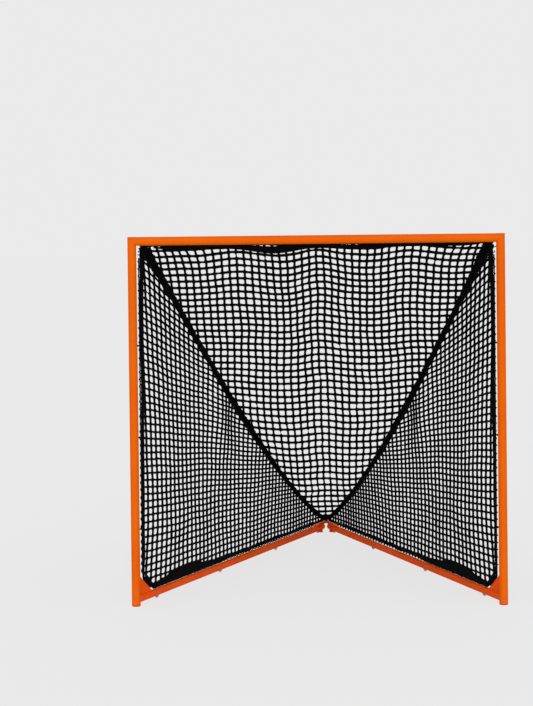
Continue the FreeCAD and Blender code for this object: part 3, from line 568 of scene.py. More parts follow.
class Hang:
    """How the netting hangs: sagging seams, and a back panel that runs level between them."""

    STEPS = 240
    TIP_MARGIN = 0.02

    def __init__(self, lines: GoalLines) -> None:
        """Work out the seams and the middle line of the back panel.

        Args:
            lines: The goal's measured lines.
        """
        self.lines = lines
        self.corner_run, self.corner_rise = lines.corner_in_side()
        runs = [between(lines.full_run, self.corner_run, step / self.STEPS)
                for step in range(self.STEPS + 1)]
        self.seams = {
            side: Course(lines.side_panel(side).at(run, self.seam_rise(run)) for run in runs)
            for side in Side}
        right = self.seams[Side.RIGHT].spots
        self.middle = Course(Vector((0.0, spot.y, spot.z)) for spot in right)
        self.half_widths = [spot.x for spot in right]

    @property
    def slope(self) -> float:
        """Return the length of the back panel's middle line."""
        return self.middle.length

    def straight_rise(self, run: float) -> float:
        """Return the height in a side panel of the line from the corner to the tip."""
        return self.corner_rise * (self.lines.full_run - run) / (
            self.lines.full_run - self.corner_run)

    def seam_rise(self, run: float) -> float:
        """Let the seam sag below its straight line.

        Args:
            run: Distance from the post along the ground.

        Returns:
            The height of the sagging seam in a side panel.
        """
        share = (run - self.corner_run) / (self.lines.full_run - self.corner_run)
        share = min(1.0, max(0.0, share))
        most = SAG_RISE / (SAG_RISE + SAG_FALL)
        peak = most ** SAG_RISE * (1.0 - most) ** SAG_FALL
        return (self.straight_rise(run)
                - SEAM_SAG * share ** SAG_RISE * (1.0 - share) ** SAG_FALL / peak)

    def tautness(self, run: float) -> float:
        """Return how much higher the straight line stands than the seam, as a factor."""
        run = min(run, self.lines.full_run - self.TIP_MARGIN)
        return self.straight_rise(run) / self.seam_rise(run)

    def level(self, climb: float) -> float:
        """Find the flat height at which a back panel cut straight has the same width.

        Args:
            climb: Distance up the middle line.

        Returns:
            The flat height.
        """
        if climb >= self.slope:
            return climb
        marks = self.middle.marks
        step = step_at(marks, climb)
        share = (climb - marks[step - 1]) / (marks[step] - marks[step - 1])
        return self.slope * between(self.half_widths[step - 1], self.half_widths[step],
                                    share) / self.half_widths[-1]

    def climb(self, level: float) -> float:
        """Find the distance up the middle line that belongs to a flat height.

        Args:
            level: The flat height.

        Returns:
            The distance from the tip.
        """
        if level >= self.slope:
            return level
        target = level / self.slope * self.half_widths[-1]
        step = step_at(self.half_widths, target)
        low, high = self.half_widths[step - 1], self.half_widths[step]
        marks = self.middle.marks
        return between(marks[step - 1], marks[step], (target - low) / (high - low))

    def back_at(self, across: float, climb: float, out: float) -> Vector:
        """Return a point off the back panel, on its inner side."""
        inner = ACROSS.cross(self.middle.way(climb))
        return self.middle.at(climb) + ACROSS * across + inner * out

    def head_panel(self) -> Panel:
        """Return the flat panel that touches the back panel under the crossbar."""
        way = self.middle.way(self.slope)
        return Panel(self.middle.at(self.slope) - way * self.slope, ACROSS, way)


# Finishes

def tone(red: float, green: float, blue: float) -> Colour:
    """Turn a screen colour into light by the usual screen curve.

    Args:
        red: Red from 0 to 255.
        green: Green from 0 to 255.
        blue: Blue from 0 to 255.

    Returns:
        The linear colour with full alpha.
    """
    def linear(value: float) -> float:
        """Return one channel as light."""
        value /= 255.0
        return value / 12.92 if value <= 0.04045 else ((value + 0.055) / 1.055) ** 2.4
    return linear(red), linear(green), linear(blue), 1.0


class Nodes:
    """A node tree and short steps to fill it."""

    def __init__(self, tree: bpy.types.NodeTree) -> None:
        """Start with an empty tree."""
        self.tree = tree
        tree.nodes.clear()

    def feed(self, target: bpy.types.NodeSocket, value: object) -> None:
        """Give an input its source or its constant.

        Args:
            target: The input.
            value: The socket that feeds it, or a plain value.
        """
        if isinstance(value, bpy.types.NodeSocket):
            self.tree.links.new(value, target)
        else:
            target.default_value = value

    def add(self, kind: str, values: Optional[dict[str, object]] = None,
            **settings: object) -> bpy.types.Node:
        """Add a node.

        Args:
            kind: The node's type name.
            values: Sources and constants of its inputs by name.
            settings: Its properties by name.

        Returns:
            The node.
        """
        node = self.tree.nodes.new(kind)
        for key, value in settings.items():
            setattr(node, key, value)
        for name, value in (values or {}).items():
            self.feed(node.inputs[name], value)
        return node

    def math(self, operation: str, first: object, second: object,
             clamp: bool = False) -> bpy.types.NodeSocket:
        """Reckon with two values, each a socket or a number.

        Args:
            operation: The Math node's operation.
            first: The first value.
            second: The second value.
            clamp: Whether the result is kept from 0 to 1.

        Returns:
            The result.
        """
        node = self.add("ShaderNodeMath", operation=operation, use_clamp=clamp)
        for socket, value in zip(node.inputs, (first, second)):
            self.feed(socket, value)
        return node.outputs[0]

    def weighed(self, first: bpy.types.NodeSocket, second: bpy.types.NodeSocket,
                share: float) -> bpy.types.NodeSocket:
        """Return a share of one value with the rest from another."""
        return self.math("ADD", self.math("MULTIPLY", first, share),
                         self.math("MULTIPLY", second, 1.0 - share))

    def noise(self, vector: bpy.types.NodeSocket, scale: float, detail: float,
              roughness: float = 0.5) -> bpy.types.NodeSocket:
        """Add a noise texture.

        Args:
            vector: Where it is read.
            scale: Its scale.
            detail: How many finer layers it has.
            roughness: How strong those are.

        Returns:
            Its value.
        """
        return self.add("ShaderNodeTexNoise", {"Vector": vector, "Scale": scale,
                                               "Detail": detail,
                                               "Roughness": roughness}).outputs["Fac"]

    def span(self, value: bpy.types.NodeSocket, low: float = 0.0, high: float = 1.0,
             start: float = 0.0, end: float = 1.0) -> bpy.types.NodeSocket:
        """Map a value's range onto another range, clamped.

        Args:
            value: The value.
            low: Where its range starts.
            high: Where its range ends.
            start: What the low end becomes.
            end: What the high end becomes.

        Returns:
            The mapped value.
        """
        node = self.add("ShaderNodeMapRange", {"Value": value, "From Min": low,
                                               "From Max": high, "To Min": start,
                                               "To Max": end}, clamp=True)
        return node.outputs["Result"]

    def blend(self, share: bpy.types.NodeSocket, first: object,
              second: object) -> bpy.types.NodeSocket:
        """Mix two colours, each a socket or a value.

        Args:
            share: How much of the second colour shows.
            first: The first colour.
            second: The second colour.

        Returns:
            The mixed colour.
        """
        node = self.add("ShaderNodeMix", {"Factor": share}, data_type="RGBA")
        for name, value in (("A", first), ("B", second)):
            self.feed(next(item for item in node.inputs
                           if item.name == name and item.type == "RGBA"), value)
        return next(item for item in node.outputs if item.type == "RGBA")

    def show(self, output: str, share: bpy.types.NodeSocket, first: bpy.types.Node,
             second: bpy.types.Node) -> None:
        """Mix two shaders and lead them to the tree's output.

        Args:
            output: The output node's type name.
            share: How much of the second shader shows.
            first: The node of the first shader.
            second: The node of the second shader.
        """
        mix = self.add("ShaderNodeMixShader", {"Fac": share})
        self.feed(mix.inputs[1], first.outputs[0])
        self.feed(mix.inputs[2], second.outputs[0])
        self.add(output, {"Surface": mix.outputs["Shader"]})


class Effects:
    """Shader groups that several finishes share, each built once."""

    def __init__(self) -> None:
        """Build the groups."""
        self.peel = self._coat_grain()
        self.dust = self._floor_dust()
        self.weave = self._twisted_fibre()

    @staticmethod
    def _start(name: str, outputs: Sequence[str],
               **sizes: float) -> tuple[Nodes, bpy.types.Node, bpy.types.Node]:
        """Open a group that reads a vector.

        Args:
            name: The group's name.
            outputs: Names of its value outputs.
            sizes: Its value inputs with their defaults.

        Returns:
            The nodes, the input node and the output node.
        """
        tree = bpy.data.node_groups.new(name, "ShaderNodeTree")
        tree.interface.new_socket(name="Vector", in_out="INPUT", socket_type="NodeSocketVector")
        for label, default in sizes.items():
            socket = tree.interface.new_socket(name=label, in_out="INPUT",
                                               socket_type="NodeSocketFloat")
            socket.default_value = default
        for label in outputs:
            tree.interface.new_socket(name=label, in_out="OUTPUT",
                                      socket_type="NodeSocketFloat")
        nodes = Nodes(tree)
        return nodes, nodes.add("NodeGroupInput"), nodes.add("NodeGroupOutput")

    def _coat_grain(self) -> bpy.types.NodeTree:
        """Build the fine orange-peel grain and slow tone drift of a sprayed coat.

        Returns:
            The group.
        """
        nodes, start, end = self._start("CoatGrain", ("Height", "Drift"))
        place = start.outputs["Vector"]
        fine = nodes.noise(place, scale=420.0, detail=2.0)
        coarse = nodes.noise(place, scale=130.0, detail=1.0)
        drift = nodes.noise(place, scale=5.0, detail=3.0)
        nodes.feed(end.inputs["Height"], nodes.weighed(fine, coarse, share=0.6))
        nodes.feed(end.inputs["Drift"], nodes.span(drift, low=0.3, high=0.7))
        return nodes.tree

    def _floor_dust(self) -> bpy.types.NodeTree:
        """Build a mask of dust and scuffs that fades with height above the floor.

        Returns:
            The group.
        """
        nodes, start, end = self._start("FloorDust", ("Mask",), Reach=0.25)
        place = start.outputs["Vector"]
        height = nodes.add("ShaderNodeSeparateXYZ", {"Vector": place}).outputs["Z"]
        fade = nodes.math("SUBTRACT", 1.0,
                          nodes.math("DIVIDE", height, start.outputs["Reach"]), clamp=True)
        scuffs = nodes.noise(place, scale=38.0, detail=6.0, roughness=0.7)
        nodes.feed(end.inputs["Mask"],
                   nodes.math("MULTIPLY", fade, nodes.span(scuffs, low=0.45, high=0.75)))
        return nodes.tree

    def _twisted_fibre(self) -> bpy.types.NodeTree:
        """Build the height and fuzz of twisted synthetic fibre.

        Returns:
            The group.
        """
        nodes, start, end = self._start("TwistedFibre", ("Height", "Fuzz"), Scale=500.0)
        place, scale = start.outputs["Vector"], start.outputs["Scale"]
        cells = nodes.add("ShaderNodeTexVoronoi", {"Vector": place, "Scale": scale},
                          feature="F1")
        furrow_scale = nodes.math("MULTIPLY", scale, 0.35)
        wave = nodes.add("ShaderNodeTexWave",
                         {"Vector": place, "Scale": furrow_scale, "Distortion": 2.5},
                         wave_type="BANDS", bands_direction="DIAGONAL")
        nodes.feed(end.inputs["Height"],
                   nodes.weighed(cells.outputs["Distance"], wave.outputs["Fac"], share=0.5))
        nodes.feed(end.inputs["Fuzz"], nodes.noise(place, scale=60.0, detail=4.0))
        return nodes.tree


class Surface:
    """A material under way: object coordinates, a Principled shader and its output."""

    def __init__(self, name: str) -> None:
        """Open a material with a Principled shader.

        Args:
            name: The material's name.
        """
        self.material = bpy.data.materials.new(name)
        self.material.use_nodes = True
        self.nodes = Nodes(self.material.node_tree)
        self.shader = self.nodes.add("ShaderNodeBsdfPrincipled")
        self.nodes.add("ShaderNodeOutputMaterial", {"Surface": self.shader.outputs["BSDF"]})
        self.place = self.nodes.add("ShaderNodeTexCoord").outputs["Object"]

    def effect(self, group: bpy.types.NodeTree, **values: float) -> bpy.types.Node:
        """Place a shared group, fed by object coordinates, with its own values."""
        return self.nodes.add("ShaderNodeGroup", {"Vector": self.place, **values},
                              node_tree=group)

    def feed(self, socket: str, value: object) -> None:
        """Give one of the shader's own sockets its source or its constant."""
        self.nodes.feed(self.shader.inputs[socket], value)

    def relief(self, height: bpy.types.NodeSocket, strength: float, distance: float) -> None:
        """Feed a height through a Bump node into the shader's normal."""
        self.feed("Normal", self.nodes.add("ShaderNodeBump", {
            "Height": height, "Strength": strength, "Distance": distance}).outputs["Normal"])


@dataclass(frozen=True)
class CoatFinish:
    """A sprayed or moulded coat with grain, tone drift and dust near the floor."""

    name: str
    slot: Slot
    colour: Colour
    shade: Colour
    roughness: float
    sheen: float = 0.05
    grain: float = 0.12
    grain_height: float = 0.0006
    gloss_patch: Pair = (-0.03, 0.05)
    dust: Colour = tone(176, 150, 128)
    dust_share: float = 0.35
    dust_reach: float = 0.16
    dust_dulling: float = 0.5

    def material(self, effects: Effects) -> bpy.types.Material:
        """Build the coat's material.

        Args:
            effects: The shared shader groups.

        Returns:
            The material.
        """
        surface = Surface(self.name)
        nodes = surface.nodes
        grain = surface.effect(effects.peel)
        dust = surface.effect(effects.dust, Reach=self.dust_reach)
        cover = nodes.math("MULTIPLY", dust.outputs["Mask"], self.dust_share)
        body = nodes.blend(grain.outputs["Drift"], self.colour, self.shade)
        surface.feed("Base Color", nodes.blend(cover, body, self.dust))
        smoother, rougher = self.gloss_patch
        gloss = nodes.span(grain.outputs["Drift"], start=self.roughness + smoother,
                           end=self.roughness + rougher)
        dulled = nodes.math("MULTIPLY", cover, self.dust_dulling)
        surface.feed("Roughness", nodes.math("ADD", gloss, dulled, clamp=True))
        surface.feed("Specular IOR Level", self.sheen)
        surface.relief(grain.outputs["Height"], self.grain, self.grain_height)
        return surface.material


@dataclass(frozen=True)
class MetalFinish:
    """Zinc-plated steel with a patchy dull bloom."""

    name: str
    slot: Slot
    colour: Colour
    bloom: Colour
    roughness: float
    bloom_dulling: float = 0.2
    metal_share: float = 0.9

    def material(self, effects: Effects) -> bpy.types.Material:
        """Build the plated metal's material.

        Args:
            effects: The shared shader groups.

        Returns:
            The material.
        """
        surface = Surface(self.name)
        nodes = surface.nodes
        grain = surface.effect(effects.peel)
        patch = nodes.span(nodes.noise(surface.place, scale=160.0, detail=5.0),
                           low=0.35, high=0.65)
        surface.feed("Base Color", nodes.blend(patch, self.colour, self.bloom))
        surface.feed("Roughness", nodes.span(patch, start=self.roughness,
                                             end=self.roughness + self.bloom_dulling))
        surface.feed("Metallic", self.metal_share)
        surface.relief(grain.outputs["Height"], strength=0.08, distance=0.0004)
        return surface.material


@dataclass(frozen=True)
class FibreFinish:
    """Black synthetic twine, rope or webbing."""

    name: str
    slot: Slot
    colour: Colour
    worn: Colour
    scale: float
    depth: float
    roughness: float = 0.8
    furrows: Pair = (0.1, -0.08)
    sheen: float = 0.06

    def material(self, effects: Effects) -> bpy.types.Material:
        """Build the fibre's material.

        Args:
            effects: The shared shader groups.

        Returns:
            The material.
        """
        surface = Surface(self.name)
        nodes = surface.nodes
        weave = surface.effect(effects.weave, Scale=self.scale)
        worn = nodes.span(weave.outputs["Fuzz"], low=0.4, high=0.75)
        surface.feed("Base Color", nodes.blend(worn, self.colour, self.worn))
        furrow, crest = self.furrows
        surface.feed("Roughness", nodes.span(weave.outputs["Height"],
                                             start=self.roughness + furrow,
                                             end=self.roughness + crest))
        surface.feed("Specular IOR Level", self.sheen)
        surface.relief(weave.outputs["Height"], strength=0.6, distance=self.depth)
        return surface.material


FINISHES = (
    CoatFinish("sprayed_orange_coat", Slot.FRAME, tone(232, 100, 1), tone(226, 93, 1),
               roughness=0.42, dust_share=0.12, dust_reach=0.12),
    # Ground pipe coat: its own redder orange, painted lighter than that tone as painted light
    # that stands in for the light the netting shades off the pipes.
    CoatFinish("sprayed_base_coat", Slot.BASE, tone(252, 90, 4), tone(243, 82, 3),
               roughness=0.44, dust_share=0.10, dust_reach=0.08),
    CoatFinish("sprayed_black_bar", Slot.BAR, tone(14, 14, 15), tone(9, 9, 10),
               roughness=0.45, dust_share=0.05),
    CoatFinish("moulded_orange_cap", Slot.CAP, tone(222, 78, 4), tone(210, 70, 3),
               roughness=0.5, grain=0.2, dust_share=0.2, dust_reach=0.03),
    CoatFinish("moulded_black_plug", Slot.PLUG, tone(26, 26, 27), tone(18, 18, 19),
               roughness=0.55, grain=0.25),
    MetalFinish("plated_zinc", Slot.ZINC, tone(196, 198, 200), tone(150, 152, 156),
                roughness=0.3),
    FibreFinish("knotted_twine", Slot.NET, tone(4, 4, 5), tone(9, 9, 10),
                scale=900.0, depth=0.0008),
    FibreFinish("folded_selvedge", Slot.WEBBING, tone(4, 4, 5), tone(9, 9, 10),
                scale=500.0, depth=0.0012),
    FibreFinish("laid_rope", Slot.ROPE, tone(5, 5, 6), tone(11, 11, 12),
                scale=700.0, depth=0.0008),
    FibreFinish("braided_lace", Slot.LACE, tone(7, 7, 8), tone(15, 15, 16),
                scale=1100.0, depth=0.0006),
)


class Wardrobe:
    """All materials by the record's slots."""

    def __init__(self) -> None:
        """Build every finish once."""
        effects = Effects()
        self.by_slot = {finish.slot: finish.material(effects) for finish in FINISHES}

    def dress_frame(self) -> None:
        """Give every carried-over CAD node the material of its slot."""
        for part in frame["record"]["subparts"]:
            for place in frame["nodes"][part["node"]].material_slots:
                place.link = "OBJECT"
                place.material = self.by_slot[Slot(part["material_slot"])]
        log.info("dressed the packed nodes")

    def settle(self, piece: bpy.types.Object, slot: Slot, replaces: Sequence[str] = (),
               smooth: float = 60.0) -> None:
        """Dress a finished piece and tie it to the frame.

        Args:
            piece: The finished mesh, at its place.
            slot: The record's material slot.
            replaces: CAD nodes that it stands for.
            smooth: Angle in degrees up to which edges are shaded smooth.
        """
        only(piece)
        piece.data.materials.clear()
        piece.data.materials.append(self.by_slot[slot])
        bpy.ops.object.shade_smooth_by_angle(angle=math.radians(smooth))
        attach(piece, "root")
        if replaces:
            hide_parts(*replaces)
        log.info("%s: %d faces", piece.name, len(piece.data.polygons))


# Frame details

@dataclass
class WeldWork:
    """Weld beads where pipes and gussets meet the posts."""

    lines: GoalLines
    wardrobe: Wardrobe
    bead: float = 0.0024
    bead_corners: int = 8
    ripple_pitch: float = 0.0034
    ripple_rings: float = 2.5
    ripple_depth: float = 0.14
    end_size: float = 0.45
    end_growth: float = 60.0
    saddle_spots: int = 28
    saddle_lift: float = 0.0006

    def _bead(self, start: Vector, end: Vector) -> bpy.types.Object:
        """Lay one rippled bead.

        Args:
            start: Where the bead starts.
            end: Where it ends.

        Returns:
            The bead.
        """
        length = (end - start).length
        rings = round(self.ripple_rings * length / self.ripple_pitch)
        bead = swept("bead", round_section(self.bead_corners, self.bead), length, rings)

        def swell(spot: Vector) -> Vector:
            """Swell and pinch the bead along its length.

            Args:
                spot: A spot of the plain tube.

            Returns:
                The spot of the bead.
            """
            wave = (1.0 - self.ripple_depth
                    + self.ripple_depth * math.cos(TURN * spot.z / self.ripple_pitch))
            ends = min(1.0, self.end_size + self.end_growth * min(spot.z, length - spot.z))
            return Vector((spot.x * wave * ends, spot.y * wave * ends, spot.z))
        reshape(bead, swell)
        bead.data.transform(lying(start, end))
        return bead

    def _saddle(self, side: Side) -> bpy.types.Object:
        """Lay the closed bead where a ground pipe is coped to its post.

        Args:
            side: Which side of the goal.

        Returns:
            The bead.
        """
        lines = self.lines
        spots = []
        for upward, sideways in round_section(self.saddle_spots, lines.pipe_radius):
            run = math.sqrt(lines.post_radius ** 2 - sideways ** 2) + self.saddle_lift
            spots.append(lines.beside(side, run, lines.pipe_z + upward)
                         + lines.inward(side) * sideways)
        return cord("saddle", spots, self.bead, closed=True, fineness=3, roundness=2)

    def build(self) -> None:
        """Weld both feet of the goal."""
        lines = self.lines
        top = lines.pipe_z + lines.pipe_radius
        seat_run = math.sqrt(lines.post_radius ** 2 - GUSSET_HALF ** 2)
        seat_rise = lines.pipe_z + math.sqrt(lines.pipe_radius ** 2 - GUSSET_HALF ** 2)
        seams = (((seat_run, top), (seat_run, top + GUSSET_RISE)),
                 ((lines.post_radius, seat_rise), (lines.post_radius + GUSSET_REACH, seat_rise)))
        for side in Side:
            beads = [self._saddle(side)]
            for hand in (-1.0, 1.0):
                shift = lines.inward(side) * (hand * GUSSET_HALF)
                for start, end in seams:
                    beads.append(self._bead(lines.beside(side, *start) + shift,
                                            lines.beside(side, *end) + shift))
            self.wardrobe.settle(joined(side.label + "_foot_weld", beads), Slot.BASE)


# Netting

@dataclass
class NetCloth:
    """One netting panel: a woven grid, trimmed to its outline, hung up, as rounded twine.

    The two noises give scale and seed of the fine and of the slow unevenness of the knots.
    """

    name: str
    columns: int
    rows: int
    weave: Callable[[float, float], Pair]
    trims: Sequence[tuple[Pair, Pair]]
    hang: Callable[[float, float], Vector]
    twine: float
    jitter: float = 0.0026
    wander: float = 0.0075
    sideways_noise: tuple[Pair, Pair] = ((31.0, 3.7), (6.0, 1.3))
    upward_noise: tuple[Pair, Pair] = ((29.0, 9.1), (5.0, 7.9))
    shortest_strand: float = 0.002

    def build(self) -> bpy.types.Object:
        """Make the panel's twine.

        Returns:
            The net as one mesh in the goal's frame.
        """
        net = flat_grid(self.name, 2 * self.columns, 2 * self.rows)
        self._open_meshes(net)
        reshape(net, self._woven)
        self._trim(net)
        reshape(net, lambda spot: self.hang(spot.x, spot.y))
        finish_with(net, "WIREFRAME", thickness=self.twine, offset=0.0, use_replace=True,
                    use_boundary=True, use_even_offset=False, use_relative_offset=False)
        finish_with(net, "SUBSURF", levels=1, render_levels=1)
        return net

    def _open_meshes(self, net: bpy.types.Object) -> None:
        """Join every four cells into one mesh with a spot in the middle of each strand.

        Args:
            net: The flat grid.
        """
        only(net)
        bpy.ops.object.mode_set(mode="EDIT")
        bpy.ops.mesh.select_mode(type="VERT")
        bpy.ops.mesh.select_all(action="DESELECT")
        bpy.ops.object.mode_set(mode="OBJECT")
        for vertex in net.data.vertices:
            column = round(vertex.co.x * 2 * self.columns)
            row = round(vertex.co.y * 2 * self.rows)
            vertex.select = column % 2 == 1 and row % 2 == 1
        bpy.ops.object.mode_set(mode="EDIT")
        bpy.ops.mesh.dissolve_verts()
        bpy.ops.object.mode_set(mode="OBJECT")

    def _uneven(self, even: float, seat: Vector, noises: tuple[Pair, Pair]) -> float:
        """Return one coordinate of a knot, moved off its even place."""
        fine, slow = noises
        return even + self.jitter * ripple(seat, *fine) + self.wander * ripple(seat, *slow)

    def _woven(self, spot: Vector) -> Vector:
        """Find where a spot of the grid lies in the flat panel.

        Args:
            spot: The spot, from 0 to 1 along X and Y.

        Returns:
            Its place across and up the panel.
        """
        across, upward = self.weave(spot.x * self.columns, spot.y * self.rows)
        seat = Vector((across, upward, 0.0))
        return Vector((self._uneven(across, seat, self.sideways_noise),
                       self._uneven(upward, seat, self.upward_noise), 0.0))

    def _trim(self, net: bpy.types.Object) -> None:
        """Cut the grid along each straight edge and drop what lies outside.

        Args:
            net: The woven grid.
        """
        only(net)
        bpy.ops.object.mode_set(mode="EDIT")
        for (ax, ay), (bx, by) in self.trims:
            bpy.ops.mesh.select_all(action="SELECT")
            way = Vector((bx - ax, by - ay, 0.0)).normalized()
            bpy.ops.mesh.bisect(plane_co=(ax, ay, 0.0), plane_no=(way.y, -way.x, 0.0),
                                clear_outer=True, clear_inner=False)
        bpy.ops.mesh.select_all(action="SELECT")
        bpy.ops.mesh.remove_doubles(threshold=self.shortest_strand)
        bpy.ops.object.mode_set(mode="OBJECT")


@dataclass
class BackNet:
    """The sloping panel behind, pulled up to the crossbar at three places.

    Each crest has a centre, a height, a reach and a fade downward. The pull that spreads the
    columns at both top corners has its size first. The sway and the wave have their size and
    their waves down and across, or across and down.
    """

    hang: Hang
    wardrobe: Wardrobe
    columns: int = 48
    rows: int = 47
    rows_above: float = 1.4
    top_row: float = 0.0474
    row_growth: float = 0.0000074
    spare_width: float = 0.03
    spread: float = 0.07
    crests: tuple[tuple[float, float, float, float], ...] = (
        (0.0, 0.046, 0.12, 9.0),
        (-0.453, 0.040, 0.13, 0.30),
        (0.466, 0.036, 0.13, 0.34),
    )
    crest_drift: float = 0.02
    hollow: float = 0.012
    rope_gap: float = 0.01
    sway: Triple = (0.010, 1.6, 4.2)
    corner_pull: tuple[float, float, float, float] = (0.034, 0.72, 0.17, 0.10)
    sag: float = 0.030
    wave: Triple = (0.006, 14.0, 3.0)
    least_reach: float = 0.02
    tip_half: float = 0.2

    def _weave(self, column: float, row: float) -> Pair:
        """Find the flat place of a knot: rows grow downward and climb to the crests.

        Args:
            column: The knot's column.
            row: Its row, counted from the tip.

        Returns:
            Its place across and up the panel.
        """
        from_top = self.rows - row - self.rows_above
        fall = self.top_row * from_top + self.row_growth * from_top ** 3
        share = fall / self.hang.slope
        width = 2 * self.hang.half_widths[-1] + self.spare_width
        across = (column / self.columns - 0.5) * width * (1.0 + self.spread * share)
        lift = -self.hollow
        for centre, height, reach, fade in self.crests:
            lift += (height * bump_at(across, centre + self.crest_drift * share, reach)
                     * math.exp(-share / fade))
        size, down, sideways = self.sway
        across -= size * math.sin(TURN * share * down) * math.sin(across * sideways)
        size, centre, reach, fade = self.corner_pull
        across += (math.copysign(size, across) * bump_at(abs(across), centre, reach)
                   * math.exp(-max(fall, 0.0) / fade))
        return across, self.hang.level(self.hang.slope - fall + lift - self.rope_gap)

    def _hung(self, across: float, level: float) -> Vector:
        """Find where a flat spot hangs, a little lower between the seams.

        Args:
            across: Distance from the middle line.
            level: Flat height of the spot.

        Returns:
            Its place in the goal.
        """
        climb = self.hang.climb(level)
        share = min(1.0, max(0.0, climb / self.hang.slope))
        reach = max(self.least_reach, level / self.hang.slope * self.hang.half_widths[-1])
        width = max(0.0, 1.0 - (across / reach) ** 2)
        size, sideways, down = self.wave
        wave = size * math.sin(across * sideways + down * share)
        below = (self.sag * math.sin(math.pi * share) + wave * share) * width
        return self.hang.back_at(across, climb, below)

    def build(self) -> None:
        """Make and dress the back net."""
        hang = self.hang
        corner = hang.half_widths[-1]
        top = hang.level(hang.slope - ROPE_STEP)
        low = hang.level(SEAM_STOP)
        net = NetCloth(
            "back_netting", self.columns, self.rows, self._weave,
            (((0.0, 0.0), (corner, hang.slope)), ((corner, top), (-corner, top)),
             ((-corner, hang.slope), (0.0, 0.0)), ((-self.tip_half, low), (self.tip_half, low))),
            self._hung, BACK_TWINE).build()
        self.wardrobe.settle(net, Slot.NET, ["back_net"])


@dataclass
class SideOutline:
    """Straight edges of a side panel in its own run and rise."""

    lines: GoalLines

    @property
    def corner(self) -> Pair:
        """Return the run and rise of the top corner."""
        return self.lines.corner_in_side()

    def front_run(self, rise: float) -> float:
        """Return where the front rope runs at a height."""
        return between(FRONT_LOW, FRONT_HIGH, rise / self.corner[1])

    def _gusset_edge(self) -> tuple[Vector, Vector]:
        """Find the foot edge of the netting, moved off the gusset.

        Returns:
            The edge's head and its direction.
        """
        lines = self.lines
        lean = lines.side_panel(Side.RIGHT).upward.z
        top = lines.pipe_z + lines.pipe_radius
        head = Vector((lines.post_radius + GUSSET_LEDGE,
                       (top + GUSSET_RISE - lines.bar_z) / lean, 0.0))
        foot = Vector((lines.post_radius + GUSSET_REACH,
                       (top + GUSSET_NOSE - lines.bar_z) / lean, 0.0))
        way = (foot - head).normalized()
        return head + Vector((-way.y, way.x, 0.0)) * FOOT_GAP, way

    def foot_rise(self, run: float) -> float:
        """Return the height of the slanted foot edge at a run."""
        head, way = self._gusset_edge()
        return head.y + (run - head.x) * way.y / way.x

    def foot_run(self, rise: float) -> float:
        """Return the run of the slanted foot edge at a height."""
        head, way = self._gusset_edge()
        return head.x + (rise - head.y) * way.x / way.y

    def foot_normal(self) -> Vector:
        """Return the direction square to the foot edge, into the panel."""
        way = self._gusset_edge()[1]
        return Vector((-way.y, way.x, 0.0))


@dataclass
class SideNet:
    """One side panel, whose rows draw together toward the rear.

    A wave or sway has its size, its waves along the run and its waves or its start upward.
    """

    hang: Hang
    wardrobe: Wardrobe
    side: Side
    columns: int = 50
    rows: int = 49
    first_run: float = 0.04
    first_column: float = 0.050
    column_shrink: float = 0.000095
    rows_below: float = 0.6
    row_pitch: float = 0.0374
    belly: float = 0.030
    belly_fade: float = 0.35
    lean: float = 0.11
    lean_start: float = 0.22
    fan: float = 0.14
    sway: Triple = (0.007, 5.0, 4.0)
    pinch: float = 0.062
    pinch_run: Pair = (1.01, 0.19)
    pinch_share: Pair = (0.57, 0.20)
    pinch_turn: float = 6.0
    draw: float = 0.145
    draw_above: float = 0.15
    front_drop: float = 0.03
    front_fade: float = 0.18
    wave: Triple = (0.010, 7.0, 2.0)
    top_lift: float = 0.02
    billow: Triple = (0.009, 4.2, 1.8)
    billow_start: float = 0.06
    billow_growth: float = 0.3
    foot_top: float = 0.24

    def _weave(self, column: float, row: float) -> Pair:
        """Find the flat place of a knot.

        Args:
            column: The knot's column, counted from the post.
            row: Its row, counted from the ground.

        Returns:
            Its run and its rise.
        """
        run = self.first_run + self.first_column * column - self.column_shrink * column ** 2
        rise = self.row_pitch * (row - self.rows_below)
        share = rise / (self.row_pitch * self.rows)
        run += self.belly * share * (1.0 - share) * 4.0 * math.exp(-run / self.belly_fade)
        run += max(0.0, share - self.lean_start) * (self.fan * run - self.lean)
        size, ahead, upward = self.sway
        run += size * math.sin(ahead * run + upward * share)
        pinch = bump_at(run, *self.pinch_run) * bump_at(share, *self.pinch_share)
        run += self.pinch * pinch * math.tanh((self.pinch_run[0] - run) * self.pinch_turn)
        fall = (1.0 - (self.draw + self.draw_above * share) * run
                - self.front_drop * math.exp(-run / self.front_fade) * share)
        size, ahead, start = self.wave
        wave = size * math.sin(ahead * run + start) * share
        return run, (rise * fall + wave + self.top_lift * share) * self.hang.tautness(run)

    def _hung(self, run: float, level: float) -> Vector:
        """Find where a flat spot hangs: lower under the sagging seam, in a gentle wave.

        Args:
            run: Distance from the post.
            level: Flat height of the spot.

        Returns:
            Its place in the goal.
        """
        rise = level / self.hang.tautness(run)
        hold = (min(1.0, rise / self.billow_growth)
                * min(1.0, max(0.0, run - self.billow_start) / self.billow_growth))
        size, ahead, upward = self.billow
        wave = size * hold * math.sin(ahead * run + upward * rise) * -self.side.value
        return self.hang.lines.side_panel(self.side).at(run, rise, wave)

    def build(self) -> None:
        """Make and dress one side net."""
        lines, outline = self.hang.lines, SideOutline(self.hang.lines)
        corner_run, corner_rise = outline.corner
        stop = lines.full_run - SEAM_STOP
        trims = [
            ((outline.foot_run(self.foot_top), self.foot_top), (outline.foot_run(0.0), 0.0)),
            ((0.0, ROPE_STEP), (1.0, ROPE_STEP)),
            ((lines.full_run, 0.0), (corner_run, corner_rise)),
            ((outline.front_run(corner_rise), corner_rise), (outline.front_run(0.0), 0.0)),
            ((stop, 0.0), (stop, 1.0)),
        ]
        net = NetCloth(self.side.label + "_side_netting", self.columns, self.rows,
                       self._weave, trims, self._hung, SIDE_TWINE).build()
        self.wardrobe.settle(net, Slot.NET, [self.side.label + "_side_net"])


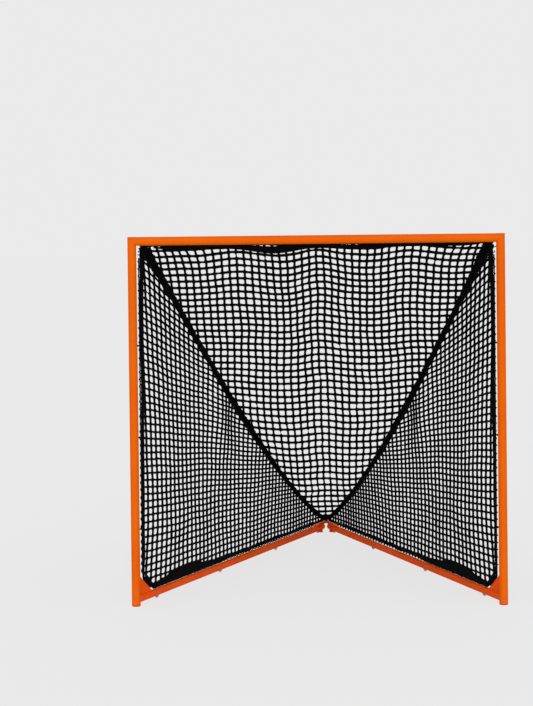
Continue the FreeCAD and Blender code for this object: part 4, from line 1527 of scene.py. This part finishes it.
@dataclass
class SeamBand:
    """The bulky band where back and side panels are gathered and overcast.

    The swelling has its height, centre and reach, the strands their size, number and twist,
    the lumps their size and scale.
    """

    hang: Hang
    wardrobe: Wardrobe
    side: Side
    corners: int = 18
    rings: int = 230
    head_width: float = 0.078
    waist_width: float = 0.029
    tail_width: float = 0.030
    head_fade: float = 0.06
    swelling: Triple = (0.004, 0.55, 0.10)
    head_thickness: float = 0.028
    thickness: float = 0.017
    thick_fade: float = 0.04
    strands: Triple = (0.10, 5, 34.0)
    pinch: float = 0.10
    lumps: Pair = (0.24, 16.0)
    end_size: float = 0.6
    end_growth: float = 14.0
    stitch_pitch: float = 0.047
    stitch_spots: int = 8
    stitch_radius: float = 0.0022
    stitch_bulge: Pair = (1.06, 1.2)
    stitch_clear: float = 0.001

    def _half_width(self, share: float) -> float:
        """Find half the band's width.

        Args:
            share: Where along its length, from its head.

        Returns:
            Half the width.
        """
        base = between(self.waist_width, self.tail_width, share)
        head = (self.head_width - self.waist_width) * math.exp(-share / self.head_fade)
        return (base + head) / 2 + humps(share, [self.swelling])

    def _half_thick(self, share: float) -> float:
        """Return half the band's thickness at a share of its length."""
        return (self.thickness + (self.head_thickness - self.thickness)
                * math.exp(-share / self.thick_fade)) / 2

    def build(self) -> None:
        """Make and dress one seam."""
        course = Course(reversed(self.hang.seams[self.side].spots))
        length = course.length - SEAM_STOP - SEAM_START
        seed = 4.0 + self.side.value

        def laid(sideways: float, outward: float, distance: float) -> Vector:
            """Find a point beside the seam's course.

            Args:
                sideways: How far off the course in the band's width.
                outward: How far off it in its thickness.
                distance: How far from its head.

            Returns:
                The point.
            """
            way = course.way(SEAM_START + distance)
            thin = ACROSS.cross(Vector((0.0, way.y, way.z)).normalized()) * -1.0
            wide = thin.cross(way).normalized()
            return course.at(SEAM_START + distance) + wide * sideways + thin * outward

        def gather(spot: Vector) -> Vector:
            """Flatten the tube into a lumpy gathered band along the seam's course.

            Args:
                spot: A spot of the plain tube.

            Returns:
                The spot of the band.
            """
            share = spot.z / length
            angle = math.atan2(spot.y, spot.x)
            ends = min(1.0, self.end_size + self.end_growth * min(share, 1.0 - share))
            size, count, twist = self.strands
            strands = 1.0 + size * math.sin(count * angle + twist * spot.z)
            knots = 1.0 + self.pinch * math.sin(TURN * spot.z / self.stitch_pitch + seed)
            size, scale = self.lumps
            lump = 1.0 + size * ripple(Vector((angle, 0.0, spot.z * scale)), 1.0, seed)
            reach = strands * knots * lump * ends
            return laid(spot.x * self._half_width(share) * reach,
                        spot.y * self._half_thick(share) * reach, spot.z)

        band = swept("band", round_section(self.corners), length, self.rings)
        reshape(band, gather)
        wide, thick = self.stitch_bulge
        spots = [laid((self._half_width(share) * wide + self.stitch_clear) * math.cos(angle),
                      (self._half_thick(share) * thick + self.stitch_clear) * math.sin(angle),
                      share * length)
                 for _, share, angle in rounds(round(length / self.stitch_pitch),
                                               self.stitch_spots)]
        stitches = cord("stitches", spots, self.stitch_radius)
        seam = joined(self.side.label + "_gathered_seam", [band, stitches])
        face_out(seam)
        self.wardrobe.settle(seam, Slot.WEBBING, [self.side.label + "_seam"])


@dataclass
class LaidRope:
    """A three-strand rope between two points."""

    name: str
    start: Vector
    end: Vector
    replaces: Sequence[str]
    radius: float = ROPE_RADIUS
    lay: float = 0.034
    strands: int = 3
    corners: int = 15
    rings: int = 7
    core: float = 0.86
    groove: float = 0.16

    def build(self, wardrobe: Wardrobe) -> None:
        """Twist the rope and set it down along its line.

        Args:
            wardrobe: The materials.
        """
        section = []
        for k in range(self.corners):
            angle = TURN * k / self.corners
            reach = self.radius * (self.core + self.groove * math.cos(self.strands * angle))
            section.append((reach * math.cos(angle), reach * math.sin(angle)))
        rope = swept(self.name, section, (self.end - self.start).length, self.rings,
                     lay=self.lay)
        rope.data.transform(lying(self.start, self.end))
        wardrobe.settle(rope, Slot.ROPE, self.replaces, smooth=80.0)


@dataclass
class Winding:
    """A lace that winds round a bar and the rope beside it, one turn per mesh."""

    name: str
    bar_start: Vector
    bar_end: Vector
    rope_start: Vector
    rope_end: Vector
    pitch: float
    replaces: Sequence[str]
    spots_per_turn: int = 8
    lace: float = 0.0026
    bar_radius: float = 0.003
    droop: float = 0.0
    drift: float = 0.22
    drift_growth: float = 10.0
    looseness: float = 0.004
    clear: float = 0.0006
    slack: float = 0.12

    def build(self, wardrobe: Wardrobe) -> None:
        """Wind the lace along the bar.

        Args:
            wardrobe: The materials.
        """
        turns = round((self.bar_end - self.bar_start).length / self.pitch)
        run = (self.bar_end - self.bar_start).normalized()
        near = -(self.bar_radius + self.lace + self.droop)
        spots = []
        for made, share, angle in rounds(turns, self.spots_per_turn):
            loose = ripple_along(made, scale=0.9, seed=3.1)
            shift = self.drift / turns * loose * min(1.0, self.drift_growth * share,
                                                     self.drift_growth * (1.0 - share))
            bar = self.bar_start.lerp(self.bar_end, share + shift)
            toward = self.rope_start.lerp(self.rope_end, share + shift) - bar
            toward -= run * toward.dot(run)
            far = toward.length + ROPE_RADIUS + 2.0 * self.lace + self.looseness * loose
            toward.normalize()
            sideways = run.cross(toward) * ((ROPE_RADIUS + self.lace + self.clear)
                                            * math.sin(angle))
            slack = 1.0 + self.slack * ripple(bar, scale=30.0, seed=5.3)
            spots.append(bar + toward * ((near + far) / 2
                                         - (far - near) / 2 * slack * math.cos(angle))
                         + sideways * slack)
        wardrobe.settle(cord(self.name, spots, self.lace), Slot.LACE, self.replaces)


@dataclass
class FoldedHem:
    """A gathered fold of netting along an edge, as a crumpled closed band.

    The crease has its size, its wander and the wander's scale, the crumple its size and its
    scales along and through the band, the edge its size and scale along the band.
    """

    name: str
    panel: Panel
    start: float
    end: float
    low: Callable[[float], float]
    high: Callable[[float], float]
    out: float
    thickness: float
    replaces: Sequence[str]
    seed: float
    pleats: float = 0.024
    taper: float = 14.0
    end_size: float = 0.25
    corners: int = 14
    ring_pitch: float = 0.008
    least_rings: int = 24
    crease: Triple = (0.12, 1.6, 9.0)
    crumple: Triple = (0.30, 22.0, 1.3)
    edge: Pair = (0.06, 30.0)

    def _fold(self, spot: Vector) -> Vector:
        """Fit the tube between the hem's outlines and crumple it.

        Args:
            spot: A spot of the plain tube, which is 1 long.

        Returns:
            The spot of the hem.
        """
        share = spot.z
        run = between(self.start, self.end, share)
        low, high = self.low(run), self.high(run)
        ends = min(1.0, self.end_size + self.taper * min(share, 1.0 - share))
        size, wander, scale = self.crease
        bend = wander * ripple(Vector((run, spot.x, 0.0)), scale, self.seed)
        crease = size * math.sin(TURN * run / self.pleats + bend)
        size, along, through = self.crumple
        crumple = size * ripple(Vector((run * along, spot.x * through, spot.y)), 1.0, self.seed)
        size, along = self.edge
        edge = size * ripple(Vector((run * along, spot.y, 0.0)), 1.0, self.seed + 2.0)
        middle, half = (low + high) / 2, (high - low) / 2
        return self.panel.at(run, middle + half * spot.y * (1.0 + edge) * ends,
                             self.out + self.thickness / 2 * spot.x
                             * (1.0 + crease + crumple) * ends)

    def build(self, wardrobe: Wardrobe) -> None:
        """Make the hem between its two outlines.

        Args:
            wardrobe: The materials.
        """
        rings = max(self.least_rings, round((self.end - self.start) / self.ring_pitch))
        hem = swept(self.name, round_section(self.corners), 1.0, rings)
        reshape(hem, self._fold)
        face_out(hem)
        wardrobe.settle(hem, Slot.WEBBING, self.replaces)


@dataclass
class CordKnot:
    """A tied lump: a tight core with cord wound over it and two short ends.

    Heights on the lump are shares of its length. Each crossing cord has the angle and the
    height at which it starts and its climb per step.
    """

    name: str
    base: Vector
    top: Vector
    base_radius: float
    top_radius: float
    replaces: Sequence[str]
    ends: Sequence[tuple[Vector, float]]
    seed: float
    cord_radius: float = 0.0036
    wraps: int = 5
    unevenness: float = 0.16
    core_corners: int = 14
    core_rings: int = 12
    flattest_end: float = 0.05
    wrap_spots: int = 9
    wrap_sunk: float = 0.9
    wrap_tilt: float = 2.2
    wrap_heights: Pair = (0.12, 0.88)
    crossings: tuple[Triple, ...] = ((0.0, 0.72, -0.07), (2.4, 0.30, 0.07))
    cross_steps: int = 10
    cross_turn: float = 0.75
    cross_reach: float = 0.95
    cross_taper: float = 0.02
    cross_thickness: float = 0.9
    end_height: float = 0.6
    end_thickness: float = 0.85
    end_bend: float = 0.004
    end_drop: float = 0.016

    def _radius(self, share: float, sunk: float) -> float:
        """Return the lump's radius at a share of its length, less a sunk part of its cord."""
        return between(self.base_radius, self.top_radius, share) - self.cord_radius * sunk

    def _core(self, length: float) -> bpy.types.Object:
        """Shape the tight core as a rounded, uneven bundle.

        Args:
            length: The lump's length.

        Returns:
            The core, standing on the origin.
        """
        core = swept("core", round_section(self.core_corners), length, self.core_rings)

        def lump(spot: Vector) -> Vector:
            """Round the tube off and make it uneven.

            Args:
                spot: A spot of the plain tube.

            Returns:
                The spot of the core.
            """
            share = spot.z / length
            radius = self._radius(share, 1.0)
            radius *= (math.sqrt(max(self.flattest_end, 1.0 - (2.0 * share - 1.0) ** 4))
                       * (1.0 + self.unevenness * ripple(spot, 2.4, self.seed)))
            return Vector((spot.x * radius, spot.y * radius, spot.z))
        reshape(core, lump)
        return core

    def _wraps(self, length: float) -> Iterator[Vector]:
        """Wind the cord over the core.

        Args:
            length: The lump's length.

        Yields:
            The spots that the cord passes.
        """
        for _, share, angle in rounds(self.wraps, self.wrap_spots):
            radius = self._radius(share, self.wrap_sunk)
            tilt = self.unevenness * radius * math.sin(angle + self.wrap_tilt * share)
            yield Vector((radius * math.cos(angle), radius * math.sin(angle),
                          between(*self.wrap_heights, share) * length + tilt))

    def _cross(self, length: float, turn: float, start: float,
               climb: float) -> Iterator[Vector]:
        """Lay one cord slantwise over the wraps.

        Args:
            length: The lump's length.
            turn: Angle at which the cord starts.
            start: Height at which it starts.
            climb: How far it climbs in each step.

        Yields:
            The spots that the cord passes.
        """
        reach = self.top_radius * self.cross_reach
        for step in range(self.cross_steps):
            angle = self.seed + turn + step * self.cross_turn
            yield Vector((reach * math.cos(angle) * (1.0 - self.cross_taper * step),
                          reach * math.sin(angle), length * (start + climb * step)))

    def build(self, wardrobe: Wardrobe) -> None:
        """Make the core, the wraps and the ends as one lump.

        Args:
            wardrobe: The materials.
        """
        length = (self.top - self.base).length
        place = lying(self.base, self.top)
        core = self._core(length)
        core.data.transform(place)
        parts = [core, cord("wraps", (place @ spot for spot in self._wraps(length)),
                            self.cord_radius)]
        for crossing in self.crossings:
            parts.append(cord("cross", (place @ spot for spot in self._cross(length, *crossing)),
                              self.cord_radius * self.cross_thickness))
        root = place @ Vector((0.0, 0.0, length * self.end_height))
        for number, (way_out, reach) in enumerate(self.ends):
            side = way_out.normalized()
            spots = [root, root + side * reach * 0.35 + UP * self.end_bend,
                     root + side * reach * 0.7 - UP * self.end_bend * (1 + number),
                     root + side * reach - UP * self.end_drop]
            parts.append(cord("end", spots, self.cord_radius * self.end_thickness, fineness=4))
        wardrobe.settle(joined(self.name, parts), Slot.ROPE, self.replaces)


@dataclass
class NettingBag:
    """All netting: panels, seams, ropes, hems, lacing and knots.

    Rows of three numbers are humps with height, centre and reach. A selvedge edge has its
    place at the foot and how far it moves up to the head.
    """

    lines: GoalLines
    wardrobe: Wardrobe
    mesh_turn: float = 0.038
    crossbar_rope_inset: float = 0.040
    crossbar_lacing_stop: float = 0.006
    crossbar_hem_stop: float = 0.02
    crossbar_hem_edges: Pair = (0.018, 0.001)
    crossbar_sags: tuple[Triple, ...] = ((0.050, -0.215, 0.150), (0.024, 0.215, 0.16),
                                         (0.017, -0.67, 0.21), (0.002, 0.68, 0.12))
    crossbar_gaps: tuple[Triple, ...] = ((0.011, -0.225, 0.075), (0.007, 0.26, 0.12))
    post_rope_radius: float = 0.0058
    post_rope_drop: float = 0.030
    post_lacing_stops: Pair = (0.035, 0.02)
    selvedge_front: Pair = (-0.0070, -0.0035)
    selvedge_back: Pair = (0.0160, -0.0050)
    selvedge_wander: float = 0.0032
    gather_start: float = 0.61
    gather_grip: Pair = (0.60, 0.07)
    gather_depth: float = 0.0165
    ground_rope_radius: float = 0.0056
    ground_rope_stop: float = 0.026
    ground_lacing_stop: float = 0.012
    hem_length: float = 1.12
    hem_crowns: tuple[Triple, ...] = ((0.044, 0.50, 0.24), (0.010, 0.95, 0.14))
    hem_lift: Triple = (0.015, 1.07, 0.11)
    foot_band: float = 0.034
    foot_band_trim: float = 0.008
    foot_band_flare: float = 0.006
    foot_band_base: float = 0.006
    foot_band_tail: float = 0.015

    def build(self) -> None:
        """Make the whole bag."""
        self.hang = Hang(self.lines)
        BackNet(self.hang, self.wardrobe).build()
        self._crossbar_edge()
        for side in Side:
            SideNet(self.hang, self.wardrobe, side).build()
            SeamBand(self.hang, self.wardrobe, side).build()
            self._post_edge(side)
            self._ground_edge(side)
            self._corner_tie(side)
        self._apex_knot()

    def _crossbar_edge(self) -> None:
        """Make the rope, lacing and hem under the crossbar."""
        lines, panel = self.lines, self.hang.head_panel()
        half = lines.corner(Side.RIGHT).x - self.crossbar_rope_inset
        climb = self.hang.slope - ROPE_STEP
        LaidRope("crossbar_edge_rope", panel.at(-half, climb), panel.at(half, climb),
                 ["crossbar_rope"]).build(self.wardrobe)
        reach = half - self.crossbar_lacing_stop
        Winding("crossbar_edge_lacing",
                *(Vector((hand * reach, lines.crossbar_bar.y, lines.crossbar_bar.z))
                  for hand in (-1.0, 1.0)),
                panel.at(-reach, climb), panel.at(reach, climb), self.mesh_turn,
                ["crossbar_lacing"]).build(self.wardrobe)
        low, high = self.crossbar_hem_edges
        FoldedHem("crossbar_folded_hem", panel, -half + self.crossbar_hem_stop,
                  half - self.crossbar_hem_stop,
                  lambda run: climb - low - humps(run, self.crossbar_sags),
                  lambda run: climb - high - humps(run, self.crossbar_gaps),
                  out=0.004, thickness=0.014, replaces=["crossbar_hem"],
                  seed=3.0).build(self.wardrobe)

    def _post_edge(self, side: Side) -> None:
        """Make the rope and the lacing behind one post, with their netting.

        Args:
            side: Which side of the goal.
        """
        lines, panel = self.lines, self.lines.side_panel(side)
        outline = SideOutline(lines)
        low = outline.foot_rise(FRONT_LOW) + ROPE_RADIUS
        high = outline.corner[1] - self.post_rope_drop
        foot, head = (panel.at(outline.front_run(rise), rise) for rise in (low, high))
        LaidRope(side.label + "_post_edge_rope", foot, head, [side.label + "_post_rope"],
                 radius=self.post_rope_radius).build(self.wardrobe)
        bar = Vector((side.value * lines.post_bar.x, lines.post_bar.y, 0.0))
        ends = (low + self.post_lacing_stops[0], high - self.post_lacing_stops[1])
        Winding(side.label + "_post_edge_lacing",
                *(bar + UP * (panel.at(0.0, rise).z) for rise in ends),
                *(panel.at(outline.front_run(rise), rise) for rise in ends),
                self.mesh_turn, [side.label + "_post_lacing"]).build(self.wardrobe)
        self._post_folds(side, foot, head, bar)

    def _post_folds(self, side: Side, foot: Vector, head: Vector, bar: Vector) -> None:
        """Make the selvedge along one post rope, and the gather that the lacing draws.

        Args:
            side: Which side of the goal.
            foot: Lower end of the rope.
            head: Upper end of the rope.
            bar: A point on the axis of the lacing bar.
        """
        panel = self.lines.side_panel(side)
        length = (head - foot).length
        way = (head - foot).normalized()
        rearward = (panel.across - way * panel.across.dot(way)).normalized()
        pull = bar + UP * head.z - head
        pull = (pull - way * pull.dot(way)).normalized()

        def wavy(run: float, seed: float) -> float:
            """Return how far the selvedge wanders at a height."""
            return self.selvedge_wander * ripple_along(run, 17.0, seed)
        front, front_shift = self.selvedge_front
        back, back_shift = self.selvedge_back
        FoldedHem(side.label + "_post_selvedge", Panel(foot, way, rearward), HEM_STEP,
                  length - HEM_STEP,
                  lambda run: front + front_shift * run / length + wavy(run, 4.0),
                  lambda run: back + back_shift * run / length + wavy(run, 6.0),
                  out=0.0, thickness=0.0135, replaces=(), seed=11.0 + side.value,
                  pleats=0.034).build(self.wardrobe)

        def drawn(run: float) -> float:
            """Find how far the lacing draws the netting's edge toward the bar.

            Args:
                run: Distance from the rope's foot.

            Returns:
                The distance off the rope.
            """
            start, growth = self.gather_grip
            grip = math.tanh(max(0.0, run / length - start) / growth)
            return self.gather_depth * grip + wavy(run, 8.0)
        FoldedHem(side.label + "_post_gather", Panel(foot, way, pull),
                  self.gather_start * length, length - HEM_STEP, lambda run: -0.002, drawn,
                  out=0.0, thickness=0.009, replaces=(), seed=21.0 + side.value,
                  pleats=0.034, taper=40.0).build(self.wardrobe)

    def _ground_edge(self, side: Side) -> None:
        """Make the rope, lacing, hem and foot band over one ground pipe.

        Args:
            side: Which side of the goal.
        """
        lines, panel = self.lines, self.lines.side_panel(side)
        outline = SideOutline(lines)
        first = outline.foot_run(ROPE_STEP) + ROPE_RADIUS
        last = lines.full_run - self.ground_rope_stop
        LaidRope(side.label + "_ground_edge_rope", panel.at(first, ROPE_STEP),
                 panel.at(last, ROPE_STEP), [side.label + "_ground_rope"],
                 radius=self.ground_rope_radius).build(self.wardrobe)
        ends = (lines.bar_start + self.ground_lacing_stop,
                lines.bar_end - self.ground_lacing_stop)
        Winding(side.label + "_ground_edge_lacing",
                *(lines.beside(side, run, lines.bar_z) for run in ends),
                *(panel.at(run, ROPE_STEP) for run in ends), self.mesh_turn,
                [side.label + "_pipe_lacing"], lace=0.003, droop=0.0032).build(self.wardrobe)
        inner = 1.0 if panel.outward.dot(lines.inward(side)) > 0 else -1.0

        def crown(run: float) -> float:
            """Return the height of the bunched netting over the pipe."""
            return (0.015 + humps(run, self.hem_crowns) + 0.005 * ripple_along(run, 14.0, 2.0)
                    + 0.004 * math.sin(math.pi * run / self.mesh_turn) ** 2)

        def skirt(run: float) -> float:
            """Return the height of its lower edge, which lifts off the pipe once."""
            return -0.007 + humps(run, [self.hem_lift])
        FoldedHem(side.label + "_bunched_hem", panel, first - HEM_STEP,
                  first + self.hem_length, skirt, crown, out=inner * 0.008, thickness=0.015,
                  replaces=[side.label + "_ground_hem"], seed=6.0 + side.value,
                  pleats=0.031, taper=50.0).build(self.wardrobe)
        self._foot_band(side, panel, outline, inner)

    def _foot_band(self, side: Side, panel: Panel, outline: SideOutline, inner: float) -> None:
        """Make the folded band along the slanted foot edge of one side panel.

        Args:
            side: Which side of the goal.
            panel: The side panel.
            outline: Its straight edges.
            inner: Sign of the panel's outward direction that leads into the goal.
        """
        base = Vector((outline.foot_run(self.foot_band_base), self.foot_band_base, 0.0))
        head = Vector((FRONT_LOW + ROPE_RADIUS, outline.foot_rise(FRONT_LOW + ROPE_RADIUS), 0.0))
        way = (head - base).normalized()
        normal = outline.foot_normal()
        turned = Panel(panel.at(base.x, base.y), (panel.across * way.x + panel.upward * way.y),
                       (panel.across * normal.x + panel.upward * normal.y))
        flip = 1.0 if turned.outward.dot(panel.outward) > 0 else -1.0
        length = (head - base).length
        width = self.foot_band - self.foot_band_trim
        FoldedHem(side.label + "_folded_foot_band", turned, -self.foot_band_tail,
                  length + HEM_STEP, lambda run: 0.0,
                  lambda run: width + self.foot_band_flare * run / length,
                  out=flip * inner * 0.004, thickness=0.013,
                  replaces=[side.label + "_foot_band"], seed=8.0 + side.value,
                  pleats=0.02).build(self.wardrobe)

    def _corner_tie(self, side: Side) -> None:
        """Tie one top corner of the netting to the crossbar's bar.

        Args:
            side: Which side of the goal.
        """
        low, high = as_vectors(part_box(side.label + "_corner_tie"))
        middle = (low + high) / 2
        lay = Vector((side.value * 0.016, -0.005, 0.014))
        CordKnot(side.label + "_corner_knot", middle - lay, middle + lay,
                 base_radius=0.015, top_radius=0.013, replaces=[side.label + "_corner_tie"],
                 ends=((Vector((-side.value * 0.2, -0.2, -1.0)), 0.034),
                       (Vector((side.value * 0.5, 0.1, -1.0)), 0.026)),
                 seed=2.0 + side.value).build(self.wardrobe)

    def _apex_knot(self) -> None:
        """Tie the rear point of the netting down on the yoke."""
        low, high = as_vectors(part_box("apex_knot"))
        middle = (low + high) / 2
        base = Vector((middle.x, middle.y, low.z))
        top = Vector((middle.x, middle.y, high.z))
        CordKnot("apex_lashing", base, top, base_radius=(high.x - low.x) / 2 - 0.001,
                 top_radius=0.0145, replaces=["apex_knot"],
                 ends=((Vector((1.0, -0.5, -0.2)), 0.040),
                       (Vector((-1.0, -0.3, -0.2)), 0.036)),
                 seed=5.0).build(self.wardrobe)


# Floor, light and camera

@dataclass
class Studio:
    """A plain pale floor and sky, two soft suns and the camera.

    The focal length and the picture's centre are in pixels, the turns in degrees. A lamp has
    the direction to it, its level and its angular size.
    """

    lines: GoalLines
    pale: Colour = tone(234, 234, 234)
    floor_glow: Colour = tone(235.5, 235.5, 235.5)
    glow_share: float = 0.86
    sky: float = 0.62
    floor_tone: float = 0.925
    floor_size: float = 160.0
    lamps: tuple[tuple[str, Triple, float, float], ...] = (
        ("key_light", (-0.08, -1.0, 0.42), 0.30, 40.0),
        ("fill_light", (0.45, -0.85, 0.28), 0.19, 60.0),
    )
    focal_pixels: float = 1726.8
    distance: float = 8.767
    camera_x: float = 0.197
    camera_z: float = 1.972
    yaw: float = 1.64
    pitch: float = -1.0
    roll: float = -0.63
    centre_x: float = 305.0
    centre_y: float = 248.6
    sight: float = 400.0

    def build(self) -> None:
        """Set up everything round the goal."""
        self._floor()
        self._world()
        for lamp in self.lamps:
            self._sun(*lamp)
        self._camera()
        log.info("studio is set")

    def _floor(self) -> None:
        """Lay the floor, which keeps the goal's soft shadow."""
        bpy.ops.object.select_all(action="DESELECT")
        bpy.ops.mesh.primitive_plane_add(size=self.floor_size, location=(0, 0, 0))
        floor = named("floor")
        material = bpy.data.materials.new("pale_floor")
        material.use_nodes = True
        nodes = Nodes(material.node_tree)
        matt = nodes.add("ShaderNodeBsdfDiffuse", {
            "Color": (self.floor_tone, self.floor_tone, self.floor_tone, 1.0)})
        glow = nodes.add("ShaderNodeEmission", {"Color": self.floor_glow})
        seen = nodes.add("ShaderNodeLightPath").outputs["Is Camera Ray"]
        nodes.show("ShaderNodeOutputMaterial", nodes.math("MULTIPLY", seen, self.glow_share),
                   matt, glow)
        floor.data.materials.append(material)

    def _world(self) -> None:
        """Fill the sky evenly, with the pale tone where the camera sees it."""
        world = bpy.data.worlds.new("studio_sky")
        bpy.context.scene.world = world
        world.use_nodes = True
        nodes = Nodes(world.node_tree)
        even = nodes.add("ShaderNodeBackground", {"Color": (1.0, 1.0, 1.0, 1.0),
                                                  "Strength": self.sky})
        pale = nodes.add("ShaderNodeBackground", {"Color": self.pale, "Strength": 1.0})
        path = nodes.add("ShaderNodeLightPath").outputs
        clear = nodes.math("MAXIMUM", path["Is Glossy Ray"], path["Is Transmission Ray"])
        nodes.show("ShaderNodeOutputWorld",
                   nodes.math("MAXIMUM", path["Is Camera Ray"], clear), even, pale)

    def _sun(self, name: str, toward: Triple, level: float, spread: float) -> None:
        """Hang one wide soft sun.

        Args:
            name: The lamp's name.
            toward: Direction to the lamp.
            level: Light on a surface that faces it, where 1 shows a colour as written.
            spread: Angular size in degrees.
        """
        lamp = bpy.data.lights.new(name, "SUN")
        lamp.energy = level * math.pi
        lamp.angle = math.radians(spread)
        brought_in(name, lamp).matrix_world = turned_to(Vector(toward))

    def _camera(self) -> None:
        """Set the camera at the photograph's place."""
        yaw, pitch, roll = (math.radians(value) for value in (self.yaw, self.pitch, self.roll))
        right = Vector((math.cos(yaw), math.sin(yaw), 0.0))
        ahead = Vector((-math.sin(yaw), math.cos(yaw), 0.0))
        look = ahead * math.cos(pitch) + UP * math.sin(pitch)
        high = UP * math.cos(pitch) - ahead * math.sin(pitch)
        across = right * math.cos(roll) + high * math.sin(roll)
        over = high * math.cos(roll) - right * math.sin(roll)
        camera = bpy.data.cameras.new("photo_camera")
        camera.sensor_fit = "AUTO"
        camera.sensor_width = SENSOR_WIDTH
        camera.lens = SENSOR_WIDTH * self.focal_pixels / IMAGE_HEIGHT
        camera.shift_x = (IMAGE_WIDTH / 2 - self.centre_x) / IMAGE_HEIGHT
        camera.shift_y = (self.centre_y - IMAGE_HEIGHT / 2) / IMAGE_HEIGHT
        camera.clip_end = self.sight
        holder = brought_in("photo_camera", camera)
        holder.matrix_world = axes(
            Vector((self.camera_x, self.lines.post_y - self.distance, self.camera_z)),
            across, over, look * -1)
        bpy.context.scene.camera = holder


def main() -> None:
    """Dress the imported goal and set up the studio."""
    logging.basicConfig(level=logging.INFO, format="%(message)s")
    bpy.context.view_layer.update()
    bpy.context.scene.view_settings.view_transform = "Standard"
    lines = GoalLines.measured()
    wardrobe = Wardrobe()
    wardrobe.dress_frame()
    WeldWork(lines, wardrobe).build()
    NettingBag(lines, wardrobe).build()
    Studio(lines).build()


if __name__ == "__main__":
    main()
